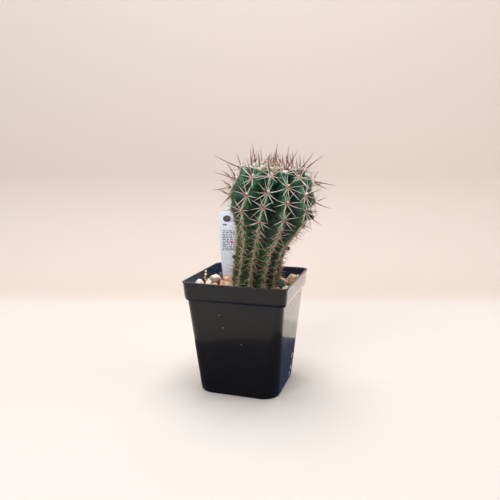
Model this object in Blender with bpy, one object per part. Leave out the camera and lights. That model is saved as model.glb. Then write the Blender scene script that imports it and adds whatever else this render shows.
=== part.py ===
"""A potted echinopsis cactus: a ribbed, club-shaped plant in a square nursery pot.

Sizes below are in millimetres, and every mesh is made in metres through MM.
+Z is up, the pot's front wall faces -Y, and the origin is the centre of the pot's underside.
"""
import math
import random

import bmesh
import bpy
from mathutils import Vector

MM = 0.001
GAP = 0.3                        # clearance between pieces that touch on the real object

# Pot: a square, tapered, thin-walled injection moulding with a rim band
POT_HEIGHT = 76.0
POT_RIM_HALF = 35.0              # half of the outer width over the lip
POT_LIP_HEIGHT = 1.0
POT_LIP_REACH = 0.35             # how far the lip stands out of the rim band
POT_BAND_HEIGHT = 12.5
POT_BAND_FOOT_HALF = 33.65
POT_BODY_TOP_HALF = 32.0
POT_FOOT_HALF = 27.1
POT_FOOT_ROUNDING = 1.0
POT_RIM_RADIUS = 5.1             # corner radius of the square outline at the rim
POT_BODY_RADIUS = 4.2            # the same just under the rim band
POT_FOOT_RADIUS = 11.0           # the corners open out towards the foot
POT_WALL = 1.0
POT_FLOOR = 1.4
CORNER_STEPS = 6
DRAIN_HOLE_RADIUS = 3.5
DRAIN_CORNER_PLACE = 13.0
DRAIN_SIDE_PLACE = 17.5
FOOT_ARCH_WIDTH = 28.0           # very shallow arch in the middle of each side of the foot
FOOT_ARCH_HEIGHT = 0.45

# Soil and gravel bed
SOIL_TOP = 65.5
BED_BOTTOM = SOIL_TOP + GAP
GROUND = 68.0                    # flat top of the gravel bed: the plant's heights start here
HOLE_RADIUS = 17.2               # plain hole that the stem stands in
HOLE_DEPTH = 21.0
GRIT_COUNT = 64
GRIT_RADIUS = (2.2, 3.6)
GRIT_CROWDING = 0.86             # grains may sink into each other this much
GRIT_TRIES = 6000
GRIT_SEED = 8

# Plant axis: height over the ground, and where the axis is there. It leans to the right and forward.
STEM_AXIS = (
    (-22.0, (4.4, 1.2)),
    (-5.0, (4.4, 1.2)),
    (14.0, (6.5, -1.4)),
    (28.0, (9.6, -3.7)),
    (54.0, (17.2, -8.9)),
    (68.0, (20.2, -10.1)),
    (82.0, (21.3, -11.0)),
)
# Profile over the rib crests: radius and height, from the soil to the sunken apex
CREST_PROFILE = (
    (15.5, -4.0),
    (15.8, 5.0),
    (16.0, 22.0),
    (17.9, 36.5),
    (21.9, 45.0),
    (25.7, 54.0),
    (26.5, 63.0),
    (25.3, 70.0),
    (21.6, 76.6),
    (14.0, 79.4),
    (6.0, 78.7),
    (0.0, 77.0),
)
NECK_RADIUS = 9.0
NECK_DEPTH = 20.0
RIBS = 11
FIRST_RIB_ANGLE = -121.0         # degrees, of the rib left of the front one
POINTS_PER_RIB = 4
RING_STEP = 2.9
RIB_DEPTH_STEM = 0.18            # furrow depth as a share of the crest radius
RIB_DEPTH_HEAD = 0.23
CREST_BULGE = 0.55               # the crest swells this much at each areole of the head

# Areoles: distance along the crest to the next one up, at some distances from the ground
AREOLE_STEPS = ((0.0, 5.0), (48.0, 5.2), (60.0, 9.4), (78.0, 10.2), (88.0, 6.0), (98.0, 3.5))
AREOLE_ANCHORS = (75.7, 80.7)    # one areole of the even ribs and one of the odd ribs
AREOLE_LOWEST = 9.0
AREOLE_HIGHEST = 93.0
HEAD_START = 51.0                # crest distance where the slim stem becomes the head
SPINE_ROOT_RING = 0.85           # the roots stand in a ring of this radius on the areole
SPINE_ROOT_SINK = 1.1
SPINE_RADIUS = 0.42
RADIAL_TILT = 68.0               # degrees from the skin's normal
HEAD_RADIALS = 5
STEM_RADIALS = 3
RADIAL_LENGTHS = ((0.0, 4.6), (36.0, 5.2), (52.0, 7.6), (66.0, 9.0), (84.0, 8.0), (95.0, 5.0))
CENTRAL_LENGTHS = ((0.0, 6.0), (52.0, 8.0), (66.0, 11.5), (82.0, 14.5), (95.0, 9.0))
# The longest central spines: rib, crest distance of the areole, length, rise over the level and
# swing off the rib's own direction, both in degrees
LONG_SPINES = (
    (10, 86.0, 13.0, 80.0, -100.0),
    (9, 89.0, 15.5, 77.0, -30.0),
    (9, 81.0, 10.5, 68.0, 0.0),
    (9, 81.0, 19.5, 25.0, 20.0),
    (9, 71.0, 15.0, 18.0, 20.0),
    (10, 66.0, 12.5, -6.0, -8.0),
    (7, 89.0, 15.5, 78.0, -35.0),
    (6, 86.0, 14.0, 80.0, 15.0),
    (2, 86.0, 15.0, 57.0, 85.0),
    (4, 86.0, 14.0, 52.0, 20.0),
    (5, 81.0, 17.0, 36.0, -18.0),
    (4, 76.0, 16.0, -12.0, 5.0),
    (4, 66.0, 11.0, -17.0, 5.0),
    (4, 56.0, 9.5, -34.0, 0.0),
)
SPINE_SEED = 23

# Offset at the base and the dormant buds: turn from the first rib, crest distance, radius
OFFSET_TURN = 125.0
OFFSET_HEIGHT = 3.6
OFFSET_RADIUS = 2.9
BUDS = ((131.0, 27.0, 1.4), (131.0, 57.0, 1.6), (-32.7, 20.0, 1.3))

# Plant label: a tapered plastic stake that faces the front right
LABEL_FOOT = (-19.6, 18.0)       # where its middle line enters the gravel
LABEL_TURN = 17.0
LABEL_THICKNESS = 0.6
LABEL_WIDTH_TOP = 16.2
LABEL_WIDTH_GROUND = 10.4
LABEL_SHOULDER = 46.5            # height over the ground where the pointed top starts
LABEL_STEP = 36.0                # height of the small step in its width
LABEL_STEP_REACH = 0.7
LABEL_TIP = 55.5
LABEL_DEPTH = 24.0               # how deep the foot reaches
LABEL_HOLE_RADIUS = 1.5
LABEL_HOLE_DROP = 4.4            # from the tip down to the centre of its hole

# Loose stones on the bed: name, place, half sizes, turn, colour name
STONES = (
    ("pumice_white_large", (-26.6, 7.3), (4.5, 3.3, 2.6), 15.0, "pumice"),
    ("pebble_grey_brown", (-22.6, -1.6), (3.3, 2.8, 2.7), 10.0, "brown_pebble"),
    ("gravel_orange_left", (-19.0, 10.2), (2.5, 2.3, 2.1), 60.0, "orange_gravel"),
    ("gravel_tan_left", (-23.7, -12.3), (2.8, 2.6, 2.2), 35.0, "tan_gravel"),
    ("pumice_white_side", (-29.8, -10.6), (2.9, 3.5, 2.7), 0.0, "pumice"),
    ("pumice_white_small", (-21.5, 25.8), (2.2, 2.4, 2.2), 75.0, "pumice"),
    ("rock_tan_right", (27.6, 13.6), (4.2, 3.5, 4.2), 100.0, "tan_gravel"),
    ("pebble_cream_right", (20.9, 14.8), (2.4, 2.1, 2.0), 80.0, "cream_pebble"),
    ("pumice_bit_right", (29.2, 24.6), (1.8, 1.7, 2.6), 15.0, "pumice"),
    ("gravel_tan_back", (2.0, 25.6), (3.4, 2.7, 2.3), 50.0, "tan_gravel"),
    ("gravel_orange_front", (-9.0, -25.0), (3.2, 2.6, 2.2), 5.0, "orange_gravel"),
    ("pumice_white_front", (15.0, -25.5), (3.3, 2.7, 2.3), 65.0, "pumice"),
)
STONE_STRAY = 0.12               # how far a corner may stray from the round form
STONE_FLAT = 0.72                # a stone is cut flat this far below its middle
BARK_PLACE = (-31.0, 0.2)
BARK_SIZE = (2.2, 1.6, 8.6)
BARK_LEAN = 0.5                  # sideways shift of its top

COLOURS = {
    "pot_plastic": ((0.018, 0.017, 0.019), 0.42),
    "potting_mix": ((0.055, 0.036, 0.022), 0.95),
    "gravel_mix": ((0.42, 0.26, 0.14), 0.85),
    "cactus_skin": ((0.030, 0.105, 0.045), 0.50),
    "label_plastic": ((0.82, 0.84, 0.88), 0.45),
    "pumice": ((0.74, 0.70, 0.64), 0.92),
    "brown_pebble": ((0.20, 0.13, 0.12), 0.60),
    "orange_gravel": ((0.62, 0.30, 0.14), 0.80),
    "tan_gravel": ((0.52, 0.31, 0.15), 0.80),
    "cream_pebble": ((0.72, 0.62, 0.46), 0.75),
    "bark": ((0.060, 0.040, 0.030), 0.90),
}


def clear_scene():
    for item in list(bpy.data.objects):
        bpy.data.objects.remove(item, do_unlink=True)


def material(name):
    found = bpy.data.materials.get(name)
    if found:
        return found
    colour, roughness = COLOURS[name]
    made = bpy.data.materials.new(name)
    made.use_nodes = True
    shader = made.node_tree.nodes["Principled BSDF"]
    shader.inputs["Base Color"].default_value = (*colour, 1.0)
    shader.inputs["Roughness"].default_value = roughness
    shader.inputs["Metallic"].default_value = 0.0
    made.diffuse_color = (*colour, 1.0)
    return made


def add_object(name, points, faces, material_name, smooth=False):
    """An object from points in millimetres."""
    mesh = bpy.data.meshes.new(name)
    mesh.from_pydata([Vector(p) * MM for p in points], [], faces)
    mesh.materials.append(material(material_name))
    if smooth:
        mesh.shade_smooth()
        mesh.set_sharp_from_angle(angle=math.radians(40.0))
    item = bpy.data.objects.new(name, mesh)
    bpy.context.scene.collection.objects.link(item)
    return item


def mix(a, b, share):
    return a + (b - a) * share


def ramp(knots, x):
    """Straight-line value at x between (x, value) knots, held flat past the ends."""
    if x <= knots[0][0]:
        return knots[0][1]
    for (x0, v0), (x1, v1) in zip(knots, knots[1:]):
        if x <= x1:
            return mix(v0, v1, (x - x0) / (x1 - x0))
    return knots[-1][1]


def smooth_points(points, per_span):
    """Points of a smooth curve through the given ones (Catmull-Rom, spaced by chord)."""
    pts = [Vector(p) for p in points]
    pts = [2 * pts[0] - pts[1]] + pts + [2 * pts[-1] - pts[-2]]
    out = []
    for p0, p1, p2, p3 in zip(pts, pts[1:], pts[2:], pts[3:]):
        d01 = (p1 - p0).length
        d12 = (p2 - p1).length
        d23 = (p3 - p2).length
        m1 = ((p1 - p0) / d01 - (p2 - p0) / (d01 + d12) + (p2 - p1) / d12) * d12
        m2 = ((p2 - p1) / d12 - (p3 - p1) / (d12 + d23) + (p3 - p2) / d23) * d12
        for step in range(per_span):
            t = step / per_span
            t2 = t * t
            t3 = t2 * t
            out.append(p1 * (2 * t3 - 3 * t2 + 1) + m1 * (t3 - 2 * t2 + t)
                       + p2 * (3 * t2 - 2 * t3) + m2 * (t3 - t2))
    out.append(pts[-2])
    return out


def rounded_square(half, radius, z):
    """One ring of points round a square with rounded corners, counter-clockwise."""
    ring = []
    for corner in range(4):
        start = corner * 90.0
        middle = math.radians(start + 45.0)
        centre_x = math.copysign(half - radius, math.cos(middle))
        centre_y = math.copysign(half - radius, math.sin(middle))
        for step in range(CORNER_STEPS + 1):
            angle = math.radians(start + 90.0 * step / CORNER_STEPS)
            ring.append((centre_x + radius * math.cos(angle), centre_y + radius * math.sin(angle), z))
    return ring


def loft(rings):
    """Points and faces of a closed solid through rings that go up on the outside."""
    count = len(rings[0])
    points = [p for ring in rings for p in ring]
    faces = []
    for level in range(len(rings) - 1):
        low = level * count
        high = low + count
        for i in range(count):
            j = (i + 1) % count
            faces.append((low + i, low + j, high + j, high + i))
    faces.append(tuple(reversed(range(count))))
    last = (len(rings) - 1) * count
    faces.append(tuple(range(last, last + count)))
    return points, faces


def apply_modifiers(item):
    view = bpy.context.evaluated_depsgraph_get()
    mesh = bpy.data.meshes.new_from_object(item.evaluated_get(view))
    item.modifiers.clear()
    item.data = mesh


def cut(item, cutters):
    """Cut solids out of an object, then drop the cutters."""
    for cutter in cutters:
        cutter.hide_render = True
        cutter.display_type = "WIRE"
        step = item.modifiers.new("cut", "BOOLEAN")
        step.operation = "DIFFERENCE"
        step.solver = "EXACT"
        step.object = cutter
    apply_modifiers(item)
    for cutter in cutters:
        bpy.data.objects.remove(cutter, do_unlink=True)


def unite(item, pieces, solver):
    """Fuse a list of closed pieces into an object with one union on a collection."""
    group = bpy.data.collections.new(item.name + "_pieces")
    bpy.context.scene.collection.children.link(group)
    for piece in pieces:
        bpy.context.scene.collection.objects.unlink(piece)
        group.objects.link(piece)
    step = item.modifiers.new("fuse", "BOOLEAN")
    step.operation = "UNION"
    step.solver = solver
    step.operand_type = "COLLECTION"
    step.collection = group
    apply_modifiers(item)
    for piece in pieces:
        bpy.data.objects.remove(piece, do_unlink=True)
    bpy.data.collections.remove(group)


def cylinder(name, x, y, radius, z0, z1, sides=16):
    rings = []
    for z in (z0, z1):
        ring = []
        for i in range(sides):
            angle = 2 * math.pi * i / sides
            ring.append((x + radius * math.cos(angle), y + radius * math.sin(angle), z))
        rings.append(ring)
    points, faces = loft(rings)
    return add_object(name, points, faces, "potting_mix")


def pot_outline(z):
    """Outer half width and corner radius of the pot's wall at a height."""
    band_foot = POT_HEIGHT - POT_BAND_HEIGHT
    if z >= band_foot:
        share = (z - band_foot) / POT_BAND_HEIGHT
        band_top_half = POT_RIM_HALF - POT_LIP_REACH
        return mix(POT_BAND_FOOT_HALF, band_top_half, share), POT_RIM_RADIUS
    share = z / band_foot
    return mix(POT_FOOT_HALF, POT_BODY_TOP_HALF, share), mix(POT_FOOT_RADIUS, POT_BODY_RADIUS, share)


def wall_ring(z, inset=0.0, below_step=False):
    """A ring of the wall at a height, moved in by inset; below_step takes the body's side of the step."""
    half, radius = pot_outline(z)
    if below_step:
        half, radius = POT_BODY_TOP_HALF, POT_BODY_RADIUS
    return rounded_square(half - inset, max(radius - inset, 0.8), z)


def make_pot():
    band_foot = POT_HEIGHT - POT_BAND_HEIGHT
    lip_foot = POT_HEIGHT - POT_LIP_HEIGHT
    ledge = band_foot + POT_WALL
    foot = rounded_square(POT_FOOT_HALF - POT_FOOT_ROUNDING, POT_FOOT_RADIUS - POT_FOOT_ROUNDING, 0.0)
    outer = [foot, wall_ring(POT_FOOT_ROUNDING), wall_ring(band_foot * 0.5)]
    outer += [wall_ring(band_foot - 0.01, below_step=True), wall_ring(band_foot)]
    outer += [wall_ring(lip_foot), wall_ring(lip_foot + 0.01, inset=-POT_LIP_REACH)]
    outer += [wall_ring(POT_HEIGHT, inset=-POT_LIP_REACH)]
    inner = [wall_ring(POT_HEIGHT, inset=POT_WALL), wall_ring(ledge + 0.01, inset=POT_WALL)]
    inner += [wall_ring(ledge, inset=POT_WALL, below_step=True)]
    inner += [wall_ring(band_foot * 0.5, inset=POT_WALL), wall_ring(POT_FLOOR, inset=POT_WALL)]
    points, faces = loft(outer + inner)
    pot = add_object("pot", points, faces, "pot_plastic")
    cutters = []
    for side in range(4):
        turn = math.radians(90.0 * side)
        corner = math.radians(90.0 * side + 45.0)
        reach = DRAIN_CORNER_PLACE * math.sqrt(2.0)
        for angle, place in ((turn, DRAIN_SIDE_PLACE), (corner, reach)):
            x = place * math.cos(angle)
            y = place * math.sin(angle)
            cutters.append(cylinder("drain", x, y, DRAIN_HOLE_RADIUS, -5.0, POT_FLOOR + 5.0, sides=12))
        cutters.append(foot_arch(turn))
    cut(pot, cutters)
    return pot


def foot_arch(turn):
    """Cutter for the shallow arch under the middle of one side."""
    across = Vector((-math.sin(turn), math.cos(turn), 0.0))
    out = Vector((math.cos(turn), math.sin(turn), 0.0))
    section = []
    steps = 8
    for i in range(steps + 1):
        share = -1.0 + 2.0 * i / steps
        section.append((share * FOOT_ARCH_WIDTH / 2, FOOT_ARCH_HEIGHT * (1.0 - share * share)))
    section[0] = (section[0][0], -2.0)
    section[-1] = (section[-1][0], -2.0)
    rings = []
    for place in (POT_FOOT_HALF + 3.0, DRAIN_SIDE_PLACE):
        rings.append([across * x + out * place + Vector((0.0, 0.0, z)) for x, z in section])
    points, faces = loft(rings)
    item = add_object("arch", points, faces, "potting_mix")
    fix_normals(item)
    return item


def fix_normals(item):
    work = bmesh.new()
    work.from_mesh(item.data)
    bmesh.ops.recalc_face_normals(work, faces=work.faces)
    work.to_mesh(item.data)
    work.free()


def make_soil():
    band_foot = POT_HEIGHT - POT_BAND_HEIGHT
    inset = POT_WALL + GAP
    rings = [wall_ring(POT_FLOOR + GAP, inset=inset), wall_ring(band_foot * 0.5, inset=inset)]
    rings += [wall_ring(band_foot, inset=inset, below_step=True)]
    step_top = band_foot + POT_WALL + GAP
    rings += [wall_ring(step_top, inset=inset, below_step=True), wall_ring(step_top + 0.01, inset=inset)]
    rings += [wall_ring(SOIL_TOP, inset=inset)]
    points, faces = loft(rings)
    soil = add_object("potting_soil", points, faces, "potting_mix")
    cut(soil, [stem_hole(), label_slot()])
    return soil


def stem_hole():
    x, y = STEM_AXIS[0][1]
    return cylinder("stem_hole", x, y, HOLE_RADIUS, GROUND - HOLE_DEPTH, POT_HEIGHT, sides=28)


def label_frame():
    turn = math.radians(LABEL_TURN)
    across = Vector((math.cos(turn), math.sin(turn), 0.0))
    back = Vector((-math.sin(turn), math.cos(turn), 0.0))
    return Vector((*LABEL_FOOT, GROUND)), across, back


def label_slot():
    origin, across, back = label_frame()
    half_width = LABEL_WIDTH_GROUND / 2 + GAP
    half_depth = LABEL_THICKNESS / 2 + GAP
    corners = ((-half_width, -half_depth), (half_width, -half_depth),
               (half_width, half_depth), (-half_width, half_depth))
    rings = []
    for height in (-LABEL_DEPTH - GAP, POT_HEIGHT - GROUND):
        lift = Vector((0.0, 0.0, height))
        rings.append([origin + across * x + back * y + lift for x, y in corners])
    points, faces = loft(rings)
    return add_object("label_slot", points, faces, "potting_mix")


def make_label():
    origin, across, back = label_frame()
    half_top = LABEL_WIDTH_TOP / 2
    half_ground = LABEL_WIDTH_GROUND / 2
    half_head = half_top - LABEL_STEP_REACH
    side = [(1.2, -LABEL_DEPTH), (half_ground * 0.92, -LABEL_DEPTH + 7.0), (half_ground, 0.0)]
    side += [(half_top, LABEL_STEP), (half_head, LABEL_STEP + 1.0), (half_head, LABEL_SHOULDER - 2.5)]
    side += [(half_head * 0.86, LABEL_SHOULDER), (half_head * 0.47, mix(LABEL_SHOULDER, LABEL_TIP, 0.6))]
    side += [(half_head * 0.16, LABEL_TIP)]
    outline = side + [(-x, z) for x, z in reversed(side)]
    rings = []
    for depth in (LABEL_THICKNESS / 2, -LABEL_THICKNESS / 2):
        shift = back * depth
        rings.append([origin + across * x + shift + Vector((0.0, 0.0, z)) for x, z in outline])
    points, faces = loft(rings)
    label = add_object("plant_label", points, faces, "label_plastic")
    fix_normals(label)
    hole_z = LABEL_TIP - LABEL_HOLE_DROP
    ring_pair = []
    for depth in (2.0, -2.0):
        ring = []
        for i in range(12):
            angle = 2 * math.pi * i / 12
            place = across * (LABEL_HOLE_RADIUS * math.cos(angle))
            lift = Vector((0.0, 0.0, hole_z + LABEL_HOLE_RADIUS * math.sin(angle)))
            ring.append(origin + place + back * depth + lift)
        ring_pair.append(ring)
    points, faces = loft(ring_pair)
    punch = add_object("punch", points, faces, "label_plastic")
    fix_normals(punch)
    cut(label, [punch])
    return label


def stone(name, centre, sizes, turn, material_name, rng, subdivisions):
    """A faceted stone: an icosphere whose corners stray a little, flat underneath."""
    work = bmesh.new()
    bmesh.ops.create_icosphere(work, subdivisions=subdivisions, radius=1.0)
    cos_t = math.cos(math.radians(turn))
    sin_t = math.sin(math.radians(turn))
    for vert in work.verts:
        stray = 1.0 + rng.uniform(-STONE_STRAY, STONE_STRAY)
        x = vert.co.x * sizes[0] * stray
        y = vert.co.y * sizes[1] * stray
        z = max(vert.co.z * stray, -STONE_FLAT) * sizes[2]
        vert.co = Vector((cos_t * x - sin_t * y, sin_t * x + cos_t * y, z)) + Vector(centre)
    points = [vert.co.copy() for vert in work.verts]
    faces = [tuple(vert.index for vert in face.verts) for face in work.faces]
    work.free()
    return add_object(name, points, faces, material_name)


def grit_fits(x, y, radius, placed):
    """Whether a grain keeps off the stem, the label, the bark, the loose stones and other grains."""
    reach = radius * (1.0 + STONE_STRAY)
    stem_x, stem_y = STEM_AXIS[0][1]
    if math.hypot(x - stem_x, y - stem_y) < HOLE_RADIUS + reach + GAP:
        return False
    origin, across, back = label_frame()
    offset = Vector((x, y, GROUND)) - origin
    beside = abs(offset.dot(across)) - LABEL_WIDTH_GROUND / 2
    before = abs(offset.dot(back)) - LABEL_THICKNESS / 2
    if max(beside, before) < reach + 2 * GAP:
        return False
    if math.hypot(x - BARK_PLACE[0], y - BARK_PLACE[1]) < radius + BARK_SIZE[0]:
        return False
    for _, place, sizes, _, _ in STONES:
        stone_reach = max(sizes[0], sizes[1]) * (1.0 + STONE_STRAY)
        if math.hypot(x - place[0], y - place[1]) < reach + stone_reach + GAP:
            return False
    return all(math.hypot(x - a, y - b) > GRIT_CROWDING * (radius + c) for a, b, c in placed)


def make_gravel_bed():
    """A thin layer over the soil, with half-sunk grit fused to it."""
    inset = POT_WALL + GAP
    rings = [wall_ring(BED_BOTTOM, inset=inset), wall_ring(GROUND, inset=inset)]
    points, faces = loft(rings)
    bed = add_object("gravel_bed", points, faces, "gravel_mix")
    rng = random.Random(GRIT_SEED)
    placed = []
    grit = []
    for _ in range(GRIT_TRIES):
        radius = rng.uniform(*GRIT_RADIUS)
        limit = POT_BODY_TOP_HALF - radius * (1.0 + STONE_STRAY) - 2 * GAP
        x = rng.uniform(-limit, limit)
        y = rng.uniform(-limit, limit)
        if len(placed) == GRIT_COUNT or not grit_fits(x, y, radius, placed):
            continue
        placed.append((x, y, radius))
        centre = (x, y, GROUND + radius * 0.1)
        size = (radius, radius * 0.9, radius * 0.85)
        grit.append(stone("grit", centre, size, rng.uniform(0.0, 180.0), "gravel_mix", rng, 1))
    print("grit", len(grit))
    unite(bed, grit, "MANIFOLD")
    cut(bed, [stem_hole(), label_slot()])
    return bed


def make_stones():
    rng = random.Random(GRIT_SEED + 1)
    for name, place, sizes, turn, colour in STONES:
        rest = GROUND + GAP + STONE_FLAT * sizes[2]
        stone(name, (*place, rest), sizes, turn, colour, rng, 2)


def make_bark():
    width, depth, height = BARK_SIZE
    rings = []
    for level, share in ((0.0, 1.0), (0.45, 0.82), (0.8, 0.95), (1.0, 0.45)):
        x = BARK_PLACE[0] + BARK_LEAN * level
        y = BARK_PLACE[1]
        z = GROUND + GAP + height * level
        ring = []
        for i in range(6):
            angle = 2 * math.pi * i / 6
            reach_x = share * width / 2 * math.cos(angle)
            reach_y = share * depth / 2 * math.sin(angle)
            ring.append((x + reach_x, y + reach_y, z))
        rings.append(ring)
    points, faces = loft(rings)
    add_object("bark_bit", points, faces, "bark")


AXIS_CURVE = smooth_points([(x, y, h) for h, (x, y) in STEM_AXIS], 12)


def axis_frame(height):
    """The point of the plant's axis at a height over the ground, and its two cross directions."""
    curve = AXIS_CURVE
    index = 0
    while index < len(curve) - 2 and curve[index + 1].z < height:
        index += 1
    a, b = curve[index], curve[index + 1]
    share = (height - a.z) / (b.z - a.z)
    point = a + (b - a) * share
    before = curve[max(index - 2, 0)]
    after = curve[min(index + 3, len(curve) - 1)]
    along = (after - before).normalized()
    side = (Vector((1.0, 0.0, 0.0)) - along * along.x).normalized()
    return point + Vector((0.0, 0.0, GROUND)), side, along.cross(side)


def measure_crest():
    """The crest profile as (distance from the ground, radius, height) rows."""
    curve = smooth_points([(r, h, 0.0) for r, h in CREST_PROFILE], 10)
    rows = []
    travelled = 0.0
    for before, point in zip([curve[0]] + curve, curve):
        travelled += (point - before).length
        rows.append([travelled, max(point.x, 0.0), point.y])
    start = next(row[0] - row[2] for row in rows if row[2] >= 0.0)
    for row in rows:
        row[0] -= start
    return rows


CREST = measure_crest()
CREST_END = CREST[-1][0]


def crest_at(distance):
    """Radius, height and outward normal of the crest profile at a distance along it."""
    index = 0
    while index < len(CREST) - 2 and CREST[index + 1][0] < distance:
        index += 1
    s0, r0, h0 = CREST[index]
    s1, r1, h1 = CREST[index + 1]
    share = (distance - s0) / (s1 - s0)
    slope = Vector((r1 - r0, h1 - h0)).normalized()
    return mix(r0, r1, share), mix(h0, h1, share), slope.y, -slope.x


def areole_distances(rib):
    """Crest distances of the areoles of one rib, from the lowest up."""
    anchor = AREOLE_ANCHORS[rib % 2]
    found = [anchor]
    while found[0] > AREOLE_LOWEST:
        found.insert(0, found[0] - ramp(AREOLE_STEPS, found[0] - 3.0))
    while found[-1] < AREOLE_HIGHEST:
        found.append(found[-1] + ramp(AREOLE_STEPS, found[-1] + 2.0))
    return [s for s in found if AREOLE_LOWEST <= s <= AREOLE_HIGHEST]


def rib_angle(rib):
    return math.radians(FIRST_RIB_ANGLE + 360.0 * rib / RIBS)


def skin_point(distance, angle):
    """A point of the ribbed skin, and the outward direction there."""
    radius, height, normal_r, normal_h = crest_at(distance)
    turns = (angle - rib_angle(0)) / (2 * math.pi) * RIBS
    rib = round(turns)
    off = abs(turns - rib) * 2.0
    furrow = 0.5 * (off + 0.5 - 0.5 * math.cos(math.pi * off))
    head = min(max((distance - 38.0) / 20.0, 0.0), 1.0)
    share = mix(RIB_DEPTH_STEM, RIB_DEPTH_HEAD, head)
    share *= min(max((distance + 4.0) / 12.0, 0.12), 1.0)
    sink = share * radius * furrow
    nearest = min(abs(distance - s) for s in areole_distances(rib % RIBS))
    bulge = CREST_BULGE * head * max(1.0 - nearest / 4.0, 0.0) * (1.0 - off)
    sink -= bulge * min(radius / 12.0, 1.0)
    radius = max(radius - sink * normal_r, 0.0)
    height -= sink * normal_h
    centre, side, other = axis_frame(height)
    out = side * math.cos(angle) + other * math.sin(angle)
    up = side.cross(other)
    return centre + out * radius, (out * normal_r + up * normal_h).normalized()


def make_cactus_skin():
    around = RIBS * POINTS_PER_RIB
    angles = [rib_angle(0) + 2 * math.pi * i / around for i in range(around)]
    rings = []
    for share, depth in ((0.45, 1.0), (1.0, 0.62)):
        centre, side, other = axis_frame(-NECK_DEPTH * depth)
        reach = NECK_RADIUS * share
        rings.append([centre + (side * math.cos(a) + other * math.sin(a)) * reach for a in angles])
    start = CREST[0][0]
    end = CREST_END - 2.2
    count = round((end - start) / RING_STEP)
    for level in range(count + 1):
        distance = mix(start, end, level / count)
        rings.append([skin_point(distance, a)[0] for a in angles])
    points, faces = loft(rings)
    return add_object("cactus", points, faces, "cactus_skin", smooth=True)


def needle(root, tip, radius):
    """A three-sided needle as points and faces."""
    along = (tip - root).normalized()
    side = along.orthogonal().normalized()
    other = along.cross(side)
    points = []
    for i in range(3):
        angle = 2 * math.pi * i / 3
        points.append(root + (side * math.cos(angle) + other * math.sin(angle)) * radius)
    points.append(tip)
    return points, [(0, 2, 1), (0, 1, 3), (1, 2, 3), (2, 0, 3)]


def areole_needles(rib, distance, rng):
    """Root and tip of each needle on one areole."""
    angle = rib_angle(rib)
    centre, normal = skin_point(distance, angle)
    higher, _ = skin_point(min(distance + 1.0, CREST_END - 1.0), angle)
    up = (higher - centre)
    up = (up - normal * up.dot(normal)).normalized()
    side = up.cross(normal)
    in_head = distance > HEAD_START
    count = HEAD_RADIALS if in_head else STEM_RADIALS
    first = rng.uniform(-12.0, 12.0) + (36.0 if in_head else 60.0)
    needles = []
    for i in range(count):
        turn = math.radians(first + 360.0 * i / count + rng.uniform(-8.0, 8.0))
        tilt = math.radians(RADIAL_TILT + rng.uniform(-6.0, 6.0))
        flat = up * math.cos(turn) + side * math.sin(turn)
        if distance < 14.0 and flat.z < 0.0:
            tilt = math.radians(50.0)
        direction = normal * math.cos(tilt) + flat * math.sin(tilt)
        root = centre + flat * SPINE_ROOT_RING - normal * SPINE_ROOT_SINK
        length = ramp(RADIAL_LENGTHS, distance) * rng.uniform(0.88, 1.1)
        needles.append((root, root + direction * (length + SPINE_ROOT_SINK)))
    root = centre - normal * SPINE_ROOT_SINK
    lean = math.radians(rng.uniform(8.0, 30.0))
    lift = (up + side * rng.uniform(-0.5, 0.5)).normalized()
    length = ramp(CENTRAL_LENGTHS, distance) * rng.uniform(0.85, 1.1)
    longest = [row for row in LONG_SPINES if row[0] == rib and abs(row[1] - distance) < 2.0]
    if in_head and not longest:
        direction = normal * math.cos(lean) + lift * math.sin(lean)
        needles.append((root, root + direction * (length + SPINE_ROOT_SINK)))
    for _, _, length, rise, swing in longest:
        level = angle + math.radians(swing)
        steep = math.radians(rise)
        flat = Vector((math.cos(level), math.sin(level), 0.0))
        direction = flat * math.cos(steep) + Vector((0.0, 0.0, math.sin(steep)))
        needles.append((root, centre + direction * length))
    return needles


def stays_clear(tip):
    """Whether a needle's tip keeps off the label, the bed and the pot's rim."""
    origin, across, back = label_frame()
    offset = tip - origin
    if abs(offset.dot(across)) < LABEL_WIDTH_TOP / 2 + 2.0 and offset.dot(back) > -1.5:
        return False
    if tip.z < GROUND + 5.5:
        return False
    inner = POT_RIM_HALF - POT_WALL - 2.5
    return tip.z > POT_HEIGHT + 1.0 or max(abs(tip.x), abs(tip.y)) < inner


def make_cactus():
    skin = make_cactus_skin()
    rng = random.Random(SPINE_SEED)
    pieces = []
    for rib in range(RIBS):
        for distance in areole_distances(rib):
            for root, tip in areole_needles(rib, distance, rng):
                if stays_clear(tip):
                    points, faces = needle(root, tip, SPINE_RADIUS)
                    pieces.append(add_object("needle", points, faces, "cactus_skin"))
    print("needles", len(pieces))
    pieces += make_buds()
    unite(skin, pieces, "MANIFOLD")
    return skin


def make_buds():
    """The round offset at the base and the small dormant buds, as stones of the skin's colour."""
    rng = random.Random(SPINE_SEED + 1)
    pieces = []
    angle = rib_angle(0) + math.radians(OFFSET_TURN)
    place, normal = skin_point(OFFSET_HEIGHT, angle)
    centre = Vector((place.x, place.y, GROUND + OFFSET_HEIGHT)) + normal * OFFSET_RADIUS * 0.45
    size = (OFFSET_RADIUS, OFFSET_RADIUS, OFFSET_RADIUS)
    pieces.append(stone("offset", centre, size, 0.0, "cactus_skin", rng, 2))
    for turn, distance, radius in BUDS:
        place, normal = skin_point(distance, rib_angle(0) + math.radians(turn))
        centre = place + normal * radius * 0.3
        pieces.append(stone("bud", centre, (radius,) * 3, 0.0, "cactus_skin", rng, 1))
    return pieces


def main():
    clear_scene()
    make_pot()
    make_soil()
    make_gravel_bed()
    make_stones()
    make_bark()
    make_label()
    make_cactus()


main()
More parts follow.
